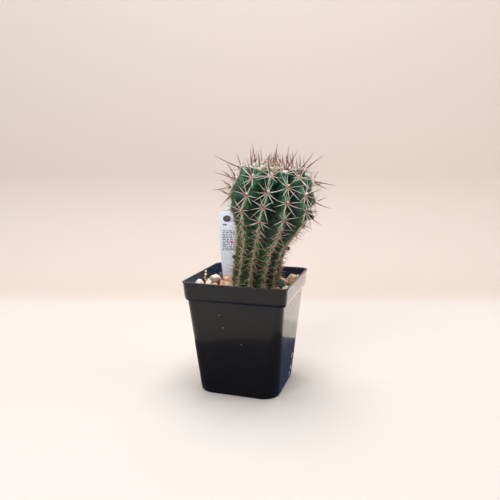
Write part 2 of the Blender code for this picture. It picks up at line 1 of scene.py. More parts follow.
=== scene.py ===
# %% [markdown]
# # A potted echinopsis cactus
#
# This lesson gives a plain solid model of a small potted cactus its real surface. The solid model has the
# true sizes, and it stays fixed: every piece made here lies on it. Lengths are in millimetres until a mesh
# is made, because a cactus spine is easier to think of as 0.7 mm than as 0.0007 m.

import math
from functools import partial

import bmesh
import bpy
import numpy as np
from mathutils import Euler, Matrix, Vector, noise
from numpy.random import default_rng


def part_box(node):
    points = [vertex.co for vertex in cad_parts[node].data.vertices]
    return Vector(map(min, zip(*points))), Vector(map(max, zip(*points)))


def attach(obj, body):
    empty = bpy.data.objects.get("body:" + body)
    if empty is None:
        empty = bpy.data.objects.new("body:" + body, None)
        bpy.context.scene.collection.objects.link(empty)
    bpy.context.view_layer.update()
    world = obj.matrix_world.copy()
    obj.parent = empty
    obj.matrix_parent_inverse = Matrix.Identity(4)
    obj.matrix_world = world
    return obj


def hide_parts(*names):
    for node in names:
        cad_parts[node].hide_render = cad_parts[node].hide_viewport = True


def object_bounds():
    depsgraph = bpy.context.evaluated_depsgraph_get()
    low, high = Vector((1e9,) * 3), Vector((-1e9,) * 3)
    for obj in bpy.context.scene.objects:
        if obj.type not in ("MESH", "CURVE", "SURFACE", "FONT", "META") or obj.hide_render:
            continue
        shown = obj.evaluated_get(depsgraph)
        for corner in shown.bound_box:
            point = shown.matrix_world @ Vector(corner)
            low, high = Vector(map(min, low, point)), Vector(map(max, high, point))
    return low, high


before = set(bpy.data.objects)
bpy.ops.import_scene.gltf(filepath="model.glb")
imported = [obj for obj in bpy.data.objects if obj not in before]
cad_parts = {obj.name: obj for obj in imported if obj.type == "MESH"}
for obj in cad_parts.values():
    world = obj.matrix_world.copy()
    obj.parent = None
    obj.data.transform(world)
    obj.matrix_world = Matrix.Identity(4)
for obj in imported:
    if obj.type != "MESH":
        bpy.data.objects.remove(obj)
cad_box = [list(corner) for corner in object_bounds()]
MM = 0.001
print("solid model, mm:", [[round(v / MM, 1) for v in corner] for corner in cad_box])

# %% [markdown]
# ## The camera
#
# A product photographer stands close to a plant this small and looks slightly down on it, so the rim of the
# pot opens up and its sides run together towards the foot. A slightly wide lens at 36 cm gives just that
# perspective.

# %% Place the camera
CAMERA_PLACE = (0.10543, -0.342411, 0.155649)    # metres
CAMERA_TURN = 16.917                             # degrees to the left of +Y
CAMERA_DIP = 9.940                               # degrees under the level
CAMERA_ROLL = 0.204
CAMERA_LENS = 38.878                             # mm, on a 36 mm sensor


def add_object(name, data):
    item = bpy.data.objects.new(name, data)
    bpy.context.scene.collection.objects.link(item)
    return item


def turned(degrees, axis):
    return Matrix.Rotation(math.radians(degrees), 4, axis)


camera_data = bpy.data.cameras.new("camera")
camera_data.sensor_width = 36.0
camera_data.lens = CAMERA_LENS
camera = add_object("camera", camera_data)
aim = turned(CAMERA_TURN, "Z") @ turned(90.0 - CAMERA_DIP, "X") @ turned(CAMERA_ROLL, "Z")
camera.matrix_world = Matrix.Translation(CAMERA_PLACE) @ aim
bpy.context.scene.camera = camera
print("camera looks along", [round(-v, 3) for v in camera.matrix_world.col[2][:3]])

# %% [markdown]
# ## Helpers for finishes
#
# Colours are easiest to compare with a picture as hex codes, but shaders count in linear light, so one
# function turns one into the other. A second one adds a node to a material. It takes the node's inputs in
# the order in which the node shows them, each a plain value or another node's output, and gives back the
# new node's output. So a finish reads like a recipe, from the first pattern to the shader.


# %% Colours and nodes
def linear(code):
    """The linear red, green, blue and alpha of an sRGB hex colour."""
    parts = [int(code[i:i + 2], 16) / 255 for i in (1, 3, 5)]
    return (*[c / 12.92 if c <= 0.04045 else ((c + 0.055) / 1.055) ** 2.4 for c in parts], 1.0)


def add_node(tree, kind, *inputs, output=None, stops=(), **options):
    """Adds a node and returns its first output, or the one named.

    An option in small letters is a setting of the node, and one with a capital is an input by its name. A hex
    code is a colour, and stops are the places and colours of a ramp. Every mix here is a mix of colours.
    """
    made = tree.nodes.new("ShaderNode" + kind)
    if kind == "Mix":
        made.data_type = "RGBA"
    named = {name: options.pop(name) for name in list(options) if name[0].isupper()}
    for name, value in options.items():
        setattr(made, name, value)
    given = list(zip([socket for socket in made.inputs if socket.enabled], inputs))
    given += [(made.inputs[name.replace("_", " ")], value) for name, value in named.items()]
    for socket, value in given:
        if isinstance(value, bpy.types.NodeSocket):
            tree.links.new(value, socket)
        else:
            socket.default_value = linear(value) if isinstance(value, str) else value
    for index, (spot, code) in enumerate(stops):
        marks = made.color_ramp.elements
        mark = marks[index] if index < 2 else marks.new(spot)
        mark.position = spot
        mark.color = linear(code)
    return made.outputs[output] if output else next(socket for socket in made.outputs if socket.enabled)


def finish(name, build, **constants):
    """A material. build(node, place) returns the shader's linked inputs, and the constants are its others."""
    made = bpy.data.materials.new(name)
    made.use_nodes = True
    shader = made.node_tree.nodes["Principled BSDF"]
    for socket, value in constants.items():
        shader.inputs[socket.replace("_", " ")].default_value = value
    node = partial(add_node, made.node_tree)
    for socket, output in build(node, node("TexCoord", output="Object")).items():
        made.node_tree.links.new(output, shader.inputs[socket.replace("_", " ")])
    return made


def per_mm(size):
    """The scale of a texture whose features are this many millimetres across."""
    return 1.0 / (size * MM)


# %% [markdown]
# ## Helpers for meshes
#
# Nearly every form here is a sheet of points in rows and columns, so one function joins rows into faces and
# another one makes the piece. Each piece rides on the model's one body and hides the solid that it stands
# for. Values that the finish needs, such as how deep in a furrow a point lies, go with the points as named
# fields.


# %% Faces
def grid_faces(rows, columns):
    """Quads between rows of points. A row runs round counter-clockwise, and the rows rise on the outside."""
    low = np.arange(rows - 1)[:, None] * columns + np.arange(columns)
    beside = np.arange(rows - 1)[:, None] * columns + (np.arange(columns) + 1) % columns
    return np.stack([low, beside, beside + columns, low + columns], axis=-1).reshape(-1, 4).tolist()


def closed_faces(rows, columns):
    """The same quads, with a cap on the first row and one on the last."""
    last = columns * (rows - 1)
    return grid_faces(rows, columns) + [list(range(columns))[::-1], list(range(last, last + columns))]


def joined(forms):
    """Many forms as one. Each has points, faces and a value, and every point gets its form's value."""
    points, faces, values = zip(*forms)
    counts = [len(part) for part in points]
    firsts = np.cumsum([0] + counts[:-1]).tolist()
    moved = [[corner + first for corner in face] for part, first in zip(faces, firsts) for face in part]
    return np.concatenate(points), moved, np.repeat(values, counts)


# %% Pieces
SMOOTH = 180.0                   # a crease angle that no edge reaches


def add_mesh(name, points, faces):
    """An object from points in millimetres."""
    mesh = bpy.data.meshes.new(name)
    mesh.from_pydata((np.asarray(points, dtype=float) * MM).tolist(), [], faces)
    return add_object(name, mesh)


def dress(piece, look, **fields):
    """Gives a piece its finish, smooth faces, and a value at each point for each named field."""
    for field, values in fields.items():
        layer = piece.data.attributes.new(field, "FLOAT", "POINT")
        layer.data.foreach_set("value", np.full(len(piece.data.vertices), values, dtype=np.float32))
    piece.data.materials.clear()
    piece.data.materials.append(look)
    piece.data.shade_smooth()


def settle(piece, replaced=()):
    """Ties a piece to the fixed model."""
    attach(piece, "root")
    if replaced:
        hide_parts(*replaced)
    print(f"{piece.name}: {sum(len(face.vertices) - 2 for face in piece.data.polygons)} triangles")


def add_piece(name, points, faces, look, slot, replaced=(), crease=40.0, **fields):
    """A piece from points in millimetres, dressed and set on the fixed model."""
    piece = add_mesh(name, points, faces)
    dress(piece, look, **fields)
    piece.data.set_sharp_from_angle(angle=math.radians(crease))
    settle(piece, replaced)
    return piece


def add_tube(name, rings, look, slot, replaced=(), **options):
    """A piece from rings of points, closed at its first and its last ring."""
    faces = closed_faces(len(rings), len(rings[0]))
    return add_piece(name, np.concatenate(rings), faces, look, slot, replaced, **options)


def add_heap(name, forms, look, slot, field="tone", **options):
    """One piece from many forms, with their values as a field."""
    points, faces, values = joined(forms)
    return add_piece(name, points, faces, look, slot, **{field: values}, **options)


def apply_modifiers(piece):
    view = bpy.context.evaluated_depsgraph_get()
    mesh = bpy.data.meshes.new_from_object(piece.evaluated_get(view))
    piece.modifiers.clear()
    piece.data = mesh


def unit(vectors):
    return vectors / np.maximum(np.linalg.norm(vectors, axis=-1, keepdims=True), 1e-9)


def lumps(points, size, seed=0.0):
    """Smooth noise from about -1 to 1 at each point, with lumps of this size in millimetres."""
    shift = Vector((seed, seed * 1.7, seed * 2.3))
    return np.array([noise.noise(Vector(point) / size + shift) for point in points])


# %% [markdown]
# ## The pot
#
# The pot is a square nursery pot: black polypropylene, injection-moulded in one shot, with a wall of a
# millimetre, a deeper band round the rim, and rounded corners that open out towards the foot. It could be a
# box with bevels, but the corner radius changes with height. So it is lofted: a ring of points at each
# height, up the outside, over the lip and down the inside, with small arcs where the mould has them.

# %% Sizes of the pot
POT_HEIGHT = 76.0
POT_LIP_HEIGHT = 1.0
POT_LIP_REACH = 0.35
POT_BAND_HEIGHT = 12.5
POT_BAND_FOOT_HALF = 33.65       # half widths
POT_BAND_TOP_HALF = 34.65
POT_BODY_TOP_HALF = 32.0
POT_FOOT_HALF = 27.1
POT_RIM_RADIUS = 5.1             # radii of the upright corners
POT_BODY_RADIUS = 4.2
POT_FOOT_RADIUS = 11.0
POT_FOOT_ROUNDING = 1.0          # radii of the level edges
POT_EDGE_ROUNDING = 0.3
POT_BAND_ROUNDING = 1.6
POT_WALL = 1.0
POT_FLOOR = 1.4
DRAIN_RADIUS = 3.5
DRAIN_REACH = 17.5
DRAIN_CORNER = 13.0
DRAIN_PLACES = [(DRAIN_REACH, 90.0 * side) for side in range(4)]
DRAIN_PLACES += [(DRAIN_CORNER * math.sqrt(2.0), 90.0 * side + 45.0) for side in range(4)]
FOOT_ARCH_WIDTH = 28.0
FOOT_ARCH_HEIGHT = 0.45
BAND_FOOT = POT_HEIGHT - POT_BAND_HEIGHT
GAP = 0.3
CORNER_STEPS = 14
SIDE_STEPS = 10


def mix(a, b, share):
    return a + (b - a) * share


def pot_outline(z):
    """Half width and corner radius of the outside of the wall at a height."""
    if z > BAND_FOOT:
        return mix(POT_BAND_FOOT_HALF, POT_BAND_TOP_HALF, (z - BAND_FOOT) / POT_BAND_HEIGHT), POT_RIM_RADIUS
    share = z / BAND_FOOT
    return mix(POT_FOOT_HALF, POT_BODY_TOP_HALF, share), mix(POT_FOOT_RADIUS, POT_BODY_RADIUS, share)


def rounded_square(half, radius, z):
    """A ring of points round a square with rounded corners, counter-clockwise from above."""
    parts = []
    for corner in range(4):
        angles = math.radians(90.0 * corner) + np.linspace(0.0, math.pi / 2, CORNER_STEPS + 1)
        middle = math.radians(90.0 * corner + 45.0)
        centre = (half - radius) * np.sign([math.cos(middle), math.sin(middle)])
        arc = centre + radius * np.stack([np.cos(angles), np.sin(angles)], axis=1)
        following = np.array([-arc[0][1], arc[0][0]])
        shares = np.linspace(0.0, 1.0, SIDE_STEPS + 2)[1:-1, None]
        parts += [arc, arc[-1] + (following - arc[-1]) * shares]
    ring = np.concatenate(parts)
    return np.column_stack([ring, np.full(len(ring), z)])


# %% The pot's profile
def wall_rows(low, high, count, inset=0.0):
    """Half width, corner radius and height of rows of the wall."""
    rows = [(*pot_outline(z), z) for z in np.linspace(low, high, count)]
    return [(half - inset, max(radius - inset, 0.8), z) for half, radius, z in rows]


def quarter_round(half, radius, z, reach, start):
    """Rows of a small round edge about a point of the profile: a quarter turn from an angle in degrees."""
    turns = [math.radians(turn) for turn in np.linspace(start, start + 90.0, 5)]
    steps = [(reach * math.cos(turn), reach * math.sin(turn)) for turn in turns]
    return [(half + out, radius + out, z + up) for out, up in steps]


def pot_profile():
    """The rows of the wall, up the outside and down the inside."""
    foot, soft, edge = POT_FOOT_ROUNDING, POT_BAND_ROUNDING, POT_EDGE_ROUNDING
    lip_foot = POT_HEIGHT - POT_LIP_HEIGHT
    lip = POT_BAND_TOP_HALF + POT_LIP_REACH - edge, POT_RIM_RADIUS + POT_LIP_REACH - edge
    rows = quarter_round(POT_FOOT_HALF - foot, POT_FOOT_RADIUS - foot, foot, foot, -90.0)
    rows += wall_rows(foot + 3.0, BAND_FOOT - edge, 16)
    rows += [(POT_BODY_TOP_HALF, POT_BODY_RADIUS, BAND_FOOT)]
    rows += quarter_round(POT_BAND_FOOT_HALF - soft, POT_RIM_RADIUS - soft, BAND_FOOT + soft, soft, -90.0)
    rows += wall_rows(BAND_FOOT + 2.0, lip_foot, 5)
    rows += quarter_round(*lip, lip_foot + edge, edge, -90.0)
    rows += quarter_round(*lip, POT_HEIGHT - edge, edge, 0.0)
    inner_half = POT_BAND_TOP_HALF - POT_WALL + edge
    rows += quarter_round(inner_half, POT_RIM_RADIUS - POT_WALL + edge, POT_HEIGHT - edge, edge, 90.0)
    rows += wall_rows(POT_HEIGHT - 2.0, BAND_FOOT + POT_WALL, 6, POT_WALL)
    return rows + wall_rows(BAND_FOOT, POT_FLOOR, 6, POT_WALL)


# %% Cutters for the drain holes
def prism(outline, low, high):
    """Points and faces of a closed prism along z, from a counter-clockwise outline."""
    points = [(x, y, z) for z in (low, high) for x, y in outline]
    return np.array(points), closed_faces(2, len(outline))


def circle(x, y, radius, sides=28):
    angles = np.linspace(0.0, 2 * math.pi, sides, endpoint=False)
    return [(x + radius * math.cos(a), y + radius * math.sin(a)) for a in angles]


def drain_cutters():
    """The eight drain holes, and the shallow arch under the middle of each side."""
    cutters = []
    for reach, turn in DRAIN_PLACES:
        x, y = reach * math.cos(math.radians(turn)), reach * math.sin(math.radians(turn))
        cutters.append(add_mesh("drain", *prism(circle(x, y, DRAIN_RADIUS), -5.0, POT_FLOOR + 5.0)))
    arch = [(-FOOT_ARCH_WIDTH / 2, -2.0), (FOOT_ARCH_WIDTH / 2, -2.0)]
    shares = np.linspace(1.0, -1.0, 15)[1:-1]
    arch += [(s * FOOT_ARCH_WIDTH / 2, FOOT_ARCH_HEIGHT * (1.0 - s * s)) for s in shares]
    for side in range(4):
        cutter = add_mesh("arch", *prism(arch, DRAIN_REACH, POT_FOOT_HALF + 3.0))
        cutter.data.transform(turned(90.0 * side, "Z") @ turned(90.0, "X"))
        cutters.append(cutter)
    return cutters


def cut(piece, cutters):
    """Cuts solids out of a piece, then removes them."""
    for cutter in cutters:
        step = piece.modifiers.new("cut", "BOOLEAN")
        step.operation = "DIFFERENCE"
        step.solver = "EXACT"
        step.object = cutter
    apply_modifiers(piece)
    for cutter in cutters:
        bpy.data.objects.remove(cutter, do_unlink=True)


# %% [markdown]
# ## Black polypropylene
#
# Pots like this are moulded from recycled black polypropylene. It gives the eye three things: a near-black
# body, a satin surface whose fine spark-eroded grain breaks up reflections, and strong pale reflections
# where a wall is seen at a low angle. The grain is really about 0.1 mm, too fine for the picture, so it is
# drawn at 0.5 mm. Hard water and handling leave faint chalky specks, most of them on the inside over the
# soil, where the plant is watered. The inside is tinted blue-grey as painted shade, the cool colour of the
# shade in the pot. Low on one side, drops of water have dried to four chalky marks.

# %% The pot's finish
SPLASHED = (66.0, 70.0)          # heights between which the specks inside become many
LIMESCALE = (                    # place and radius of each mark
    (28.4, 13.8, 16.7, 2.8), (27.9, 18.7, 10.8, 2.4), (27.7, 13.2, 8.3, 2.6), (27.4, 10.6, 4.4, 2.4),
)


def polypropylene(node, place):
    cloud = node("TexNoise", place, per_mm(14.0), 4.0)
    grain = node("TexNoise", place, per_mm(0.5), 2.0)
    speck = node("TexVoronoi", place, per_mm(2.4))
    outward = node("VectorMath", node("NewGeometry", output="Normal"), place, operation="DOT_PRODUCT")
    inside = node("MapRange", outward, 0.0, -0.005)
    above = node("MapRange", node("SeparateXYZ", place, output="Z"), *np.array(SPLASHED) * MM)
    splashed = node("Math", inside, above, operation="MULTIPLY")
    wanted = node("MapRange", splashed, To_Min=0.035, To_Max=0.30)
    chance = node("SeparateColor", speck.node.outputs["Color"])
    chosen = node("Math", chance, wanted, operation="LESS_THAN")
    chalky = node("Math", chosen, node("MapRange", speck, 0.16, 0.08), operation="MULTIPLY")
    smear = node("TexNoise", place, per_mm(1.3), 3.0)
    for *spot, radius in LIMESCALE:
        away = node("VectorMath", place, np.array(spot) * MM, operation="DISTANCE")
        dried = node("MapRange", away, radius * MM, 0.5 * radius * MM, To_Max=2.6)
        patchy = node("Math", dried, smear, -0.35, operation="MULTIPLY_ADD", use_clamp=True)
        chalky = node("Math", chalky, patchy, operation="MAXIMUM")
    body = node("Mix", cloud, "#0c0a0c", "#151214")
    # Painted shade: the inside is tinted blue-grey, the cool colour its shade takes.
    inside_shade_tint = node("Mix", inside, body, "#25334c")
    colour = node("Mix", chalky, inside_shade_tint, "#c6c8cc")
    satin = node("MapRange", cloud, To_Min=0.34, To_Max=0.46)
    bump = node("Bump", 0.35, 0.02 * MM, Height=grain)
    dulled = node("MapRange", inside, To_Min=1.0, To_Max=0.25)
    return dict(Base_Color=colour, Roughness=satin, Normal=bump, Coat_Weight=dulled)


POLYPROPYLENE = finish("polypropylene_black", polypropylene, IOR=1.49, Specular_IOR_Level=0.18,
                       Coat_IOR=1.3, Coat_Roughness=0.12)

# %% Make the pot
rings = [rounded_square(*row) for row in pot_profile()]
pot = add_tube("pot_wall", rings, POLYPROPYLENE, "pot_plastic", ["pot"])
cut(pot, drain_cutters())
pot.data.set_sharp_from_angle(angle=math.radians(40.0))
print("pot rings:", len(rings), "rim, mm:", 2 * (POT_BAND_TOP_HALF + POT_LIP_REACH))

# %% [markdown]
# ## The potting mix
#
# Under the gravel the pot is full of a peaty potting mix. It shows only through the drain holes, so the
# fixed solid stays and gets a finish: dark brown, matt, with crumbs and a few pale bits of perlite.


# %% Peat finish
def peat(node, place):
    crumb = node("TexNoise", place, per_mm(1.4), 6.0, 0.7)
    chance = node("SeparateColor", node("TexVoronoi", place, per_mm(1.9), output="Color"))
    dark = node("Mix", crumb, "#1d140d", "#6b4c34")
    colour = node("Mix", node("MapRange", chance, 0.90, 0.94), dark, "#cbb394")
    return dict(Base_Color=colour, Normal=node("Bump", 1.0, 0.6 * MM, Height=crumb))


PEAT = finish("peat_mix", peat, Roughness=0.95, Specular_IOR_Level=0.2)
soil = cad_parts["potting_soil"]
soil.data.materials.clear()
soil.data.materials.append(PEAT)

# %% [markdown]
# ## The ground between the stones
#
# The top dressing is loose stone over a thin layer of gritty soil. The layer is modelled first, as one
# closed sheet that runs from the stem to the pot's wall, rough on top. The stones are then scattered over
# it and sunk in by about half, as they are after some months of watering.

# %% Make the ground layer
GROUND = 68.0                    # the plant's heights start here
GROUND_SINK = 0.9                # the soil between the stones lies this much lower
BED_BOTTOM = 65.8
STEM_PLACE = np.array([4.4, 1.2])
STEM_REACH = 12.0                # the layer runs under the skin of the stem
half_inside, corner_inside = pot_outline(GROUND)
INNER_HALF = half_inside - POT_WALL - GAP


def ground_height(x, y):
    """Height of the rough soil at some places."""
    flat = np.stack([x, y, np.zeros_like(x)], axis=-1)
    return GROUND - GROUND_SINK + 0.35 * lumps(flat, 5.0, 3.0) + 0.22 * lumps(flat, 1.6, 8.0)


outer = rounded_square(INNER_HALF, corner_inside - POT_WALL - GAP, BED_BOTTOM)
away = unit(outer[:, :2] - STEM_PLACE)
inner = np.column_stack([STEM_PLACE + away * STEM_REACH, outer[:, 2]])
rows = [inner, outer]
for share in np.linspace(1.0, 0.0, 46):
    row = mix(inner, outer, share)
    row[:, 2] = ground_height(row[:, 0], row[:, 1])
    rows.append(row)
columns = len(outer)
last = (len(rows) - 1) * columns
faces = grid_faces(len(rows), columns)
faces += [(last + i, last + (i + 1) % columns, (i + 1) % columns, i) for i in range(columns)]
add_piece("ground_layer", np.concatenate(rows), faces, PEAT, "gravel_mix", ["gravel_bed"], crease=80.0)

# %% [markdown]
# ## Stones
#
# Crushed gravel has flat breaks with worn edges, and a pebble has none. Both start as a ball: flat breaks
# press its points onto random planes, and a little noise roughens the rest. A stone of the fixed model is
# refined from its own faceted mesh instead, so it keeps its place and outline.


# %% Stone shapes
def ball(detail):
    work = bmesh.new()
    bmesh.ops.create_icosphere(work, subdivisions=detail, radius=1.0)
    points = np.array([vert.co for vert in work.verts])
    faces = [[vert.index for vert in face.verts] for face in work.faces]
    work.free()
    return points, faces


BALLS = {detail: ball(detail) for detail in (1, 2, 3)}


def break_flat(points, rng, breaks, nearest=0.62, furthest=0.92, press=0.85):
    """Presses the points of a unit stone onto random planes."""
    points = points.copy()
    for _ in range(breaks):
        away = unit(rng.normal(size=3))
        over = points @ away - rng.uniform(nearest, furthest)
        points -= np.outer(np.maximum(over, 0.0) * press, away)
    return points


# %% [markdown]
# ## Stone finishes
#
# Four stones are in the mix, and a few pale pebbles of limestone. Pumice is a white volcanic froth: chalky,
# with open pores. Tan and orange gravel is crushed sandstone and quartzite, stained by iron, with clear
# quartz grains that catch the light. Brown pebbles are river-worn and smoother, so they keep a soft shine.
# Pores and quartz grains are finer than the picture can show, so they are drawn at half a millimetre or
# more. Each grain of gravel has its own tone, which comes with the mesh as a field.


# %% Stone finishes
def stone_finish(name, dark, light, fleck, pore_size, pore_depth, roughness):
    """A stone: two tones in patches, flecks of a third, and pores or pits of a size in millimetres."""
    def build(node, place):
        tone = node("Attribute", attribute_name="tone", output="Fac")
        patch = node("TexNoise", place, per_mm(2.2), 5.0)
        spread = node("MapRange", node("Math", patch, tone, operation="ADD"), 0.55, 1.35)
        two = node("Mix", spread, dark, light)
        grit = node("SeparateColor", node("TexVoronoi", place, per_mm(0.55), output="Color"))
        colour = node("Mix", node("MapRange", grit, 0.78, 0.86), two, fleck)
        pores = node("TexNoise", place, per_mm(pore_size), 4.0, 0.65)
        return dict(Base_Color=colour, Normal=node("Bump", 0.9, pore_depth * MM, Height=pores))
    return finish(name, build, Roughness=roughness)


STONE = {
    "pumice": stone_finish("pumice", "#c9beb5", "#f6f0ea", "#fdfaf6", 0.9, 0.5, 0.95),
    "tan": stone_finish("sandstone_gravel", "#c8966c", "#f4d2ac", "#fcefdc", 0.8, 0.25, 0.8),
    "orange": stone_finish("quartzite_gravel", "#bf7d54", "#ecb48c", "#f8e4cc", 0.8, 0.22, 0.7),
    "brown": stone_finish("river_pebble", "#4a3835", "#8a7069", "#a08b84", 1.1, 0.08, 0.5),
    "cream": stone_finish("limestone_pebble", "#dfc9a6", "#faeed8", "#fdf8ee", 0.9, 0.12, 0.7),
}
print("stone finishes:", ", ".join(STONE))

# %% [markdown]
# ## Scattered gravel
#
# Sieved gravel is all sizes between two meshes of the sieve, and the small ones fill the gaps between the
# large ones. So the grains are thrown from the largest down, and one is kept where it clears the others.
# Their kinds are drawn by chance too, but in a handful the same kind lies together here and there, so a few
# patches are given one kind. One random source with a fixed seed makes every run the same.

# %% What the gravel keeps clear of
LABEL_FOOT = np.array([-19.6, 18.0])
LABEL_TURN = math.radians(17.0)
LABEL_ACROSS = np.array([math.cos(LABEL_TURN), math.sin(LABEL_TURN), 0.0])
LABEL_BACK = np.array([-math.sin(LABEL_TURN), math.cos(LABEL_TURN), 0.0])
LABEL_CLEARING = (5.2, 0.3)      # half the label's width and thickness, where no grain lies
BARK_PLACE = np.array([-31.0, 0.2])
CAD_STONES = {
    "pumice_white_large": "pumice", "pebble_grey_brown": "brown", "gravel_orange_left": "orange",
    "gravel_tan_left": "tan", "pumice_white_side": "pumice", "pumice_white_small": "pumice",
    "rock_tan_right": "tan", "pebble_cream_right": "cream", "pumice_bit_right": "pumice",
    "gravel_tan_back": "tan", "gravel_orange_front": "orange", "pumice_white_front": "pumice",
}
STEM_RING = 15.2                 # radius of the stem at the ground
GRAIN_SPACING = 0.9              # of two grains, as a share of their radii together: none is quite round
STONE_FOOT = 0.72                # how much of a larger stone's half width stands on the ground
POT_CORNER = 4.0                 # the grains keep out of the pot's corners by this radius


def kept_clear():
    """Circles that the grains keep off: the bark and the loose stones' footprints."""
    circles = [(*BARK_PLACE, 1.0)]
    for name in CAD_STONES:
        low, high = (np.array(corner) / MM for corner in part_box(name))
        middle, size = (low + high) / 2, (high - low) / 2
        circles.append((middle[0], middle[1], STONE_FOOT * min(size[0], size[1])))
    return circles


def is_crowded(x, y, radius):
    """Whether a grain would be in the stem, in the label or past the rounded corners of the pot."""
    in_stem = math.hypot(x - STEM_PLACE[0], y - STEM_PLACE[1]) < STEM_RING + 0.5 * radius
    offset = np.array([x, y]) - LABEL_FOOT
    beside = abs(offset @ LABEL_ACROSS[:2]) - LABEL_CLEARING[0]
    before = abs(offset @ LABEL_BACK[:2]) - LABEL_CLEARING[1]
    past = np.maximum(np.abs([x, y]) - INNER_HALF + POT_CORNER, 0.0)
    return in_stem or max(beside, before) < 0.6 * radius or math.hypot(*past) > POT_CORNER - radius


# %% Scatter the gravel
GRAVEL_SIZES = ((2.9, 1.9, 900), (1.9, 1.2, 2600), (1.2, 0.7, 6000), (0.7, 0.4, 5000))    # radii and throws


def scatter_gravel(rng):
    """Places of the grains as rows of x, y and radius, large ones first."""
    taken = np.array(kept_clear())
    fixed = len(taken)
    for largest, smallest, throws in GRAVEL_SIZES:
        for _ in range(throws):
            radius = rng.uniform(smallest, largest)
            x, y = rng.uniform(-INNER_HALF + radius, INNER_HALF - radius, 2)
            apart = np.hypot(taken[:, 0] - x, taken[:, 1] - y)
            if not is_crowded(x, y, radius) and np.all(apart > GRAIN_SPACING * (taken[:, 2] + radius)):
                taken = np.vstack([taken, (x, y, radius)])
    return taken[fixed:]


rng = default_rng(41)
grains = scatter_gravel(rng)
print("grains thrown and kept:", len(grains))

# %% Make the grains
GRAVEL_KINDS = {"tan": 0.36, "orange": 0.26, "pumice": 0.20, "cream": 0.08, "brown": 0.10}
PATCHES = (                      # kind, middle and radius; without a kind only small grains lie there
    ("cream", 19.5, 20.0, 4.0), ("cream", 27.5, -2.0, 4.0), ("brown", 20.0, -7.0, 4.2),
    ("tan", -27.5, -2.6, 2.6), ("brown", -30.5, 28.8, 4.0), (None, -27.5, 20.0, 6.0),
)
SMALL_GRAIN = 1.1
FINER_FROM = (0.7, 1.5)          # radii from which a grain gets a finer ball
BREAKS = {"tan": 11, "orange": 11, "pumice": 11, "cream": 3, "brown": 3, None: 11}

heaps = {kind: [] for kind in GRAVEL_KINDS}
for (x, y, radius), level in zip(grains, ground_height(grains[:, 0], grains[:, 1])):
    kind = list(GRAVEL_KINDS)[rng.choice(len(GRAVEL_KINDS), p=list(GRAVEL_KINDS.values()))]
    for patch, a, b, reach in PATCHES:
        if math.hypot(x - a, y - b) < reach and (patch or radius > SMALL_GRAIN):
            kind = patch
    unit_points, unit_faces = BALLS[1 + sum(radius > limit for limit in FINER_FROM)]
    form = break_flat(unit_points, rng, BREAKS[kind]) * (1.0 + 0.05 * rng.normal(size=(len(unit_points), 1)))
    stretch = np.array([1.12, rng.uniform(0.82, 1.0), rng.uniform(0.68, 0.9)]) * radius
    grain = (form * stretch) @ np.array(Euler(rng.uniform(0.0, 2 * math.pi, 3)).to_matrix()).T
    lift = level - grain[:, 2].min() - rng.uniform(0.35, 0.75) * radius
    tone = rng.uniform(0.0, 1.0)
    if kind:
        heaps[kind].append((grain + [x, y, lift], unit_faces, tone))
for kind, heap in heaps.items():
    add_heap(f"gravel_{kind}", heap, STONE[kind], "gravel_mix", crease=50.0)

# %% [markdown]
# ## The larger stones
#
# A dozen stones stand out of the dressing. Their solids are coarse balls, so each one is subdivided until
# its facets are gone, broken flat again where the kind of stone breaks, and pitted if it is pumice.

# %% Refine the larger stones
STONE_FORMS = {                  # finish slot, flat breaks and roughness
    "pumice": ("pumice", 9, 0.16), "brown": ("brown_pebble", 2, 0.02), "orange": ("orange_gravel", 10, 0.06),
    "tan": ("tan_gravel", 12, 0.09), "cream": ("cream_pebble", 4, 0.04),
}
STONE_NUDGES = {                 # mm aside, and growth
    "pumice_white_side": (-0.8, -1.8, 0.3, 1.12), "gravel_orange_left": (0.0, 0.0, -0.8, 1.0),
    "pumice_white_small": (0.0, 0.0, -1.9, 0.85),
}


def refine_stone(name, kind, rng):
    """A fine stone from the solid of the fixed model."""
    slot, breaks, roughness = STONE_FORMS[kind]
    work = bmesh.new()
    work.from_mesh(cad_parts[name].data)
    bmesh.ops.remove_doubles(work, verts=work.verts, dist=0.01 * MM)
    piece = add_object(name + "_fine", bpy.data.meshes.new(name + "_fine"))
    work.to_mesh(piece.data)
    work.free()
    smoother = piece.modifiers.new("round", "SUBSURF")
    smoother.levels = smoother.render_levels = 2
    apply_modifiers(piece)
    points = np.array([vert.co for vert in piece.data.vertices]) / MM
    low, high = points.min(axis=0), points.max(axis=0)
    middle, size = (low + high) / 2, (high - low) / 2
    form = break_flat((points - middle) / size, rng, breaks, 0.70, 0.95)
    for pit, share in ((0.42, 1.0), (0.16, 0.5)):
        form *= (1.0 + share * roughness * lumps(form, pit, rng.uniform(0.0, 9.0)))[:, None]
    low, high = form.min(axis=0), form.max(axis=0)
    *nudge, grown = STONE_NUDGES.get(name, (0.0, 0.0, 0.0, 1.0))
    form = (form - (high + low) / 2) * 2.0 / (high - low) * 1.04 * grown
    piece.data.vertices.foreach_set("co", ((middle + nudge + form * size) * MM).ravel())
    dress(piece, STONE[kind], tone=rng.uniform(0.45, 0.85))
    settle(piece, [name])


for index, (name, kind) in enumerate(CAD_STONES.items()):
    refine_stone(name, kind, default_rng(60 + index))

# %% [markdown]
# ## The bit of bark
#
# A sliver of pine bark stands against the left wall, with grains of perlite from the potting mix stuck to
# it. A tapering tube whose rows lean and swell makes the sliver, and small pale balls make the perlite.


# %% Make the bark and the perlite on it
def bark(node, place):
    streak = node("TexNoise", node("Mapping", place, Scale=(1.0, 1.0, 0.25)), per_mm(0.5), 5.0)
    colour = node("Mix", streak, "#1c120c", "#6a4a33")
    return dict(Base_Color=colour, Normal=node("Bump", 0.9, 0.3 * MM, Height=streak))


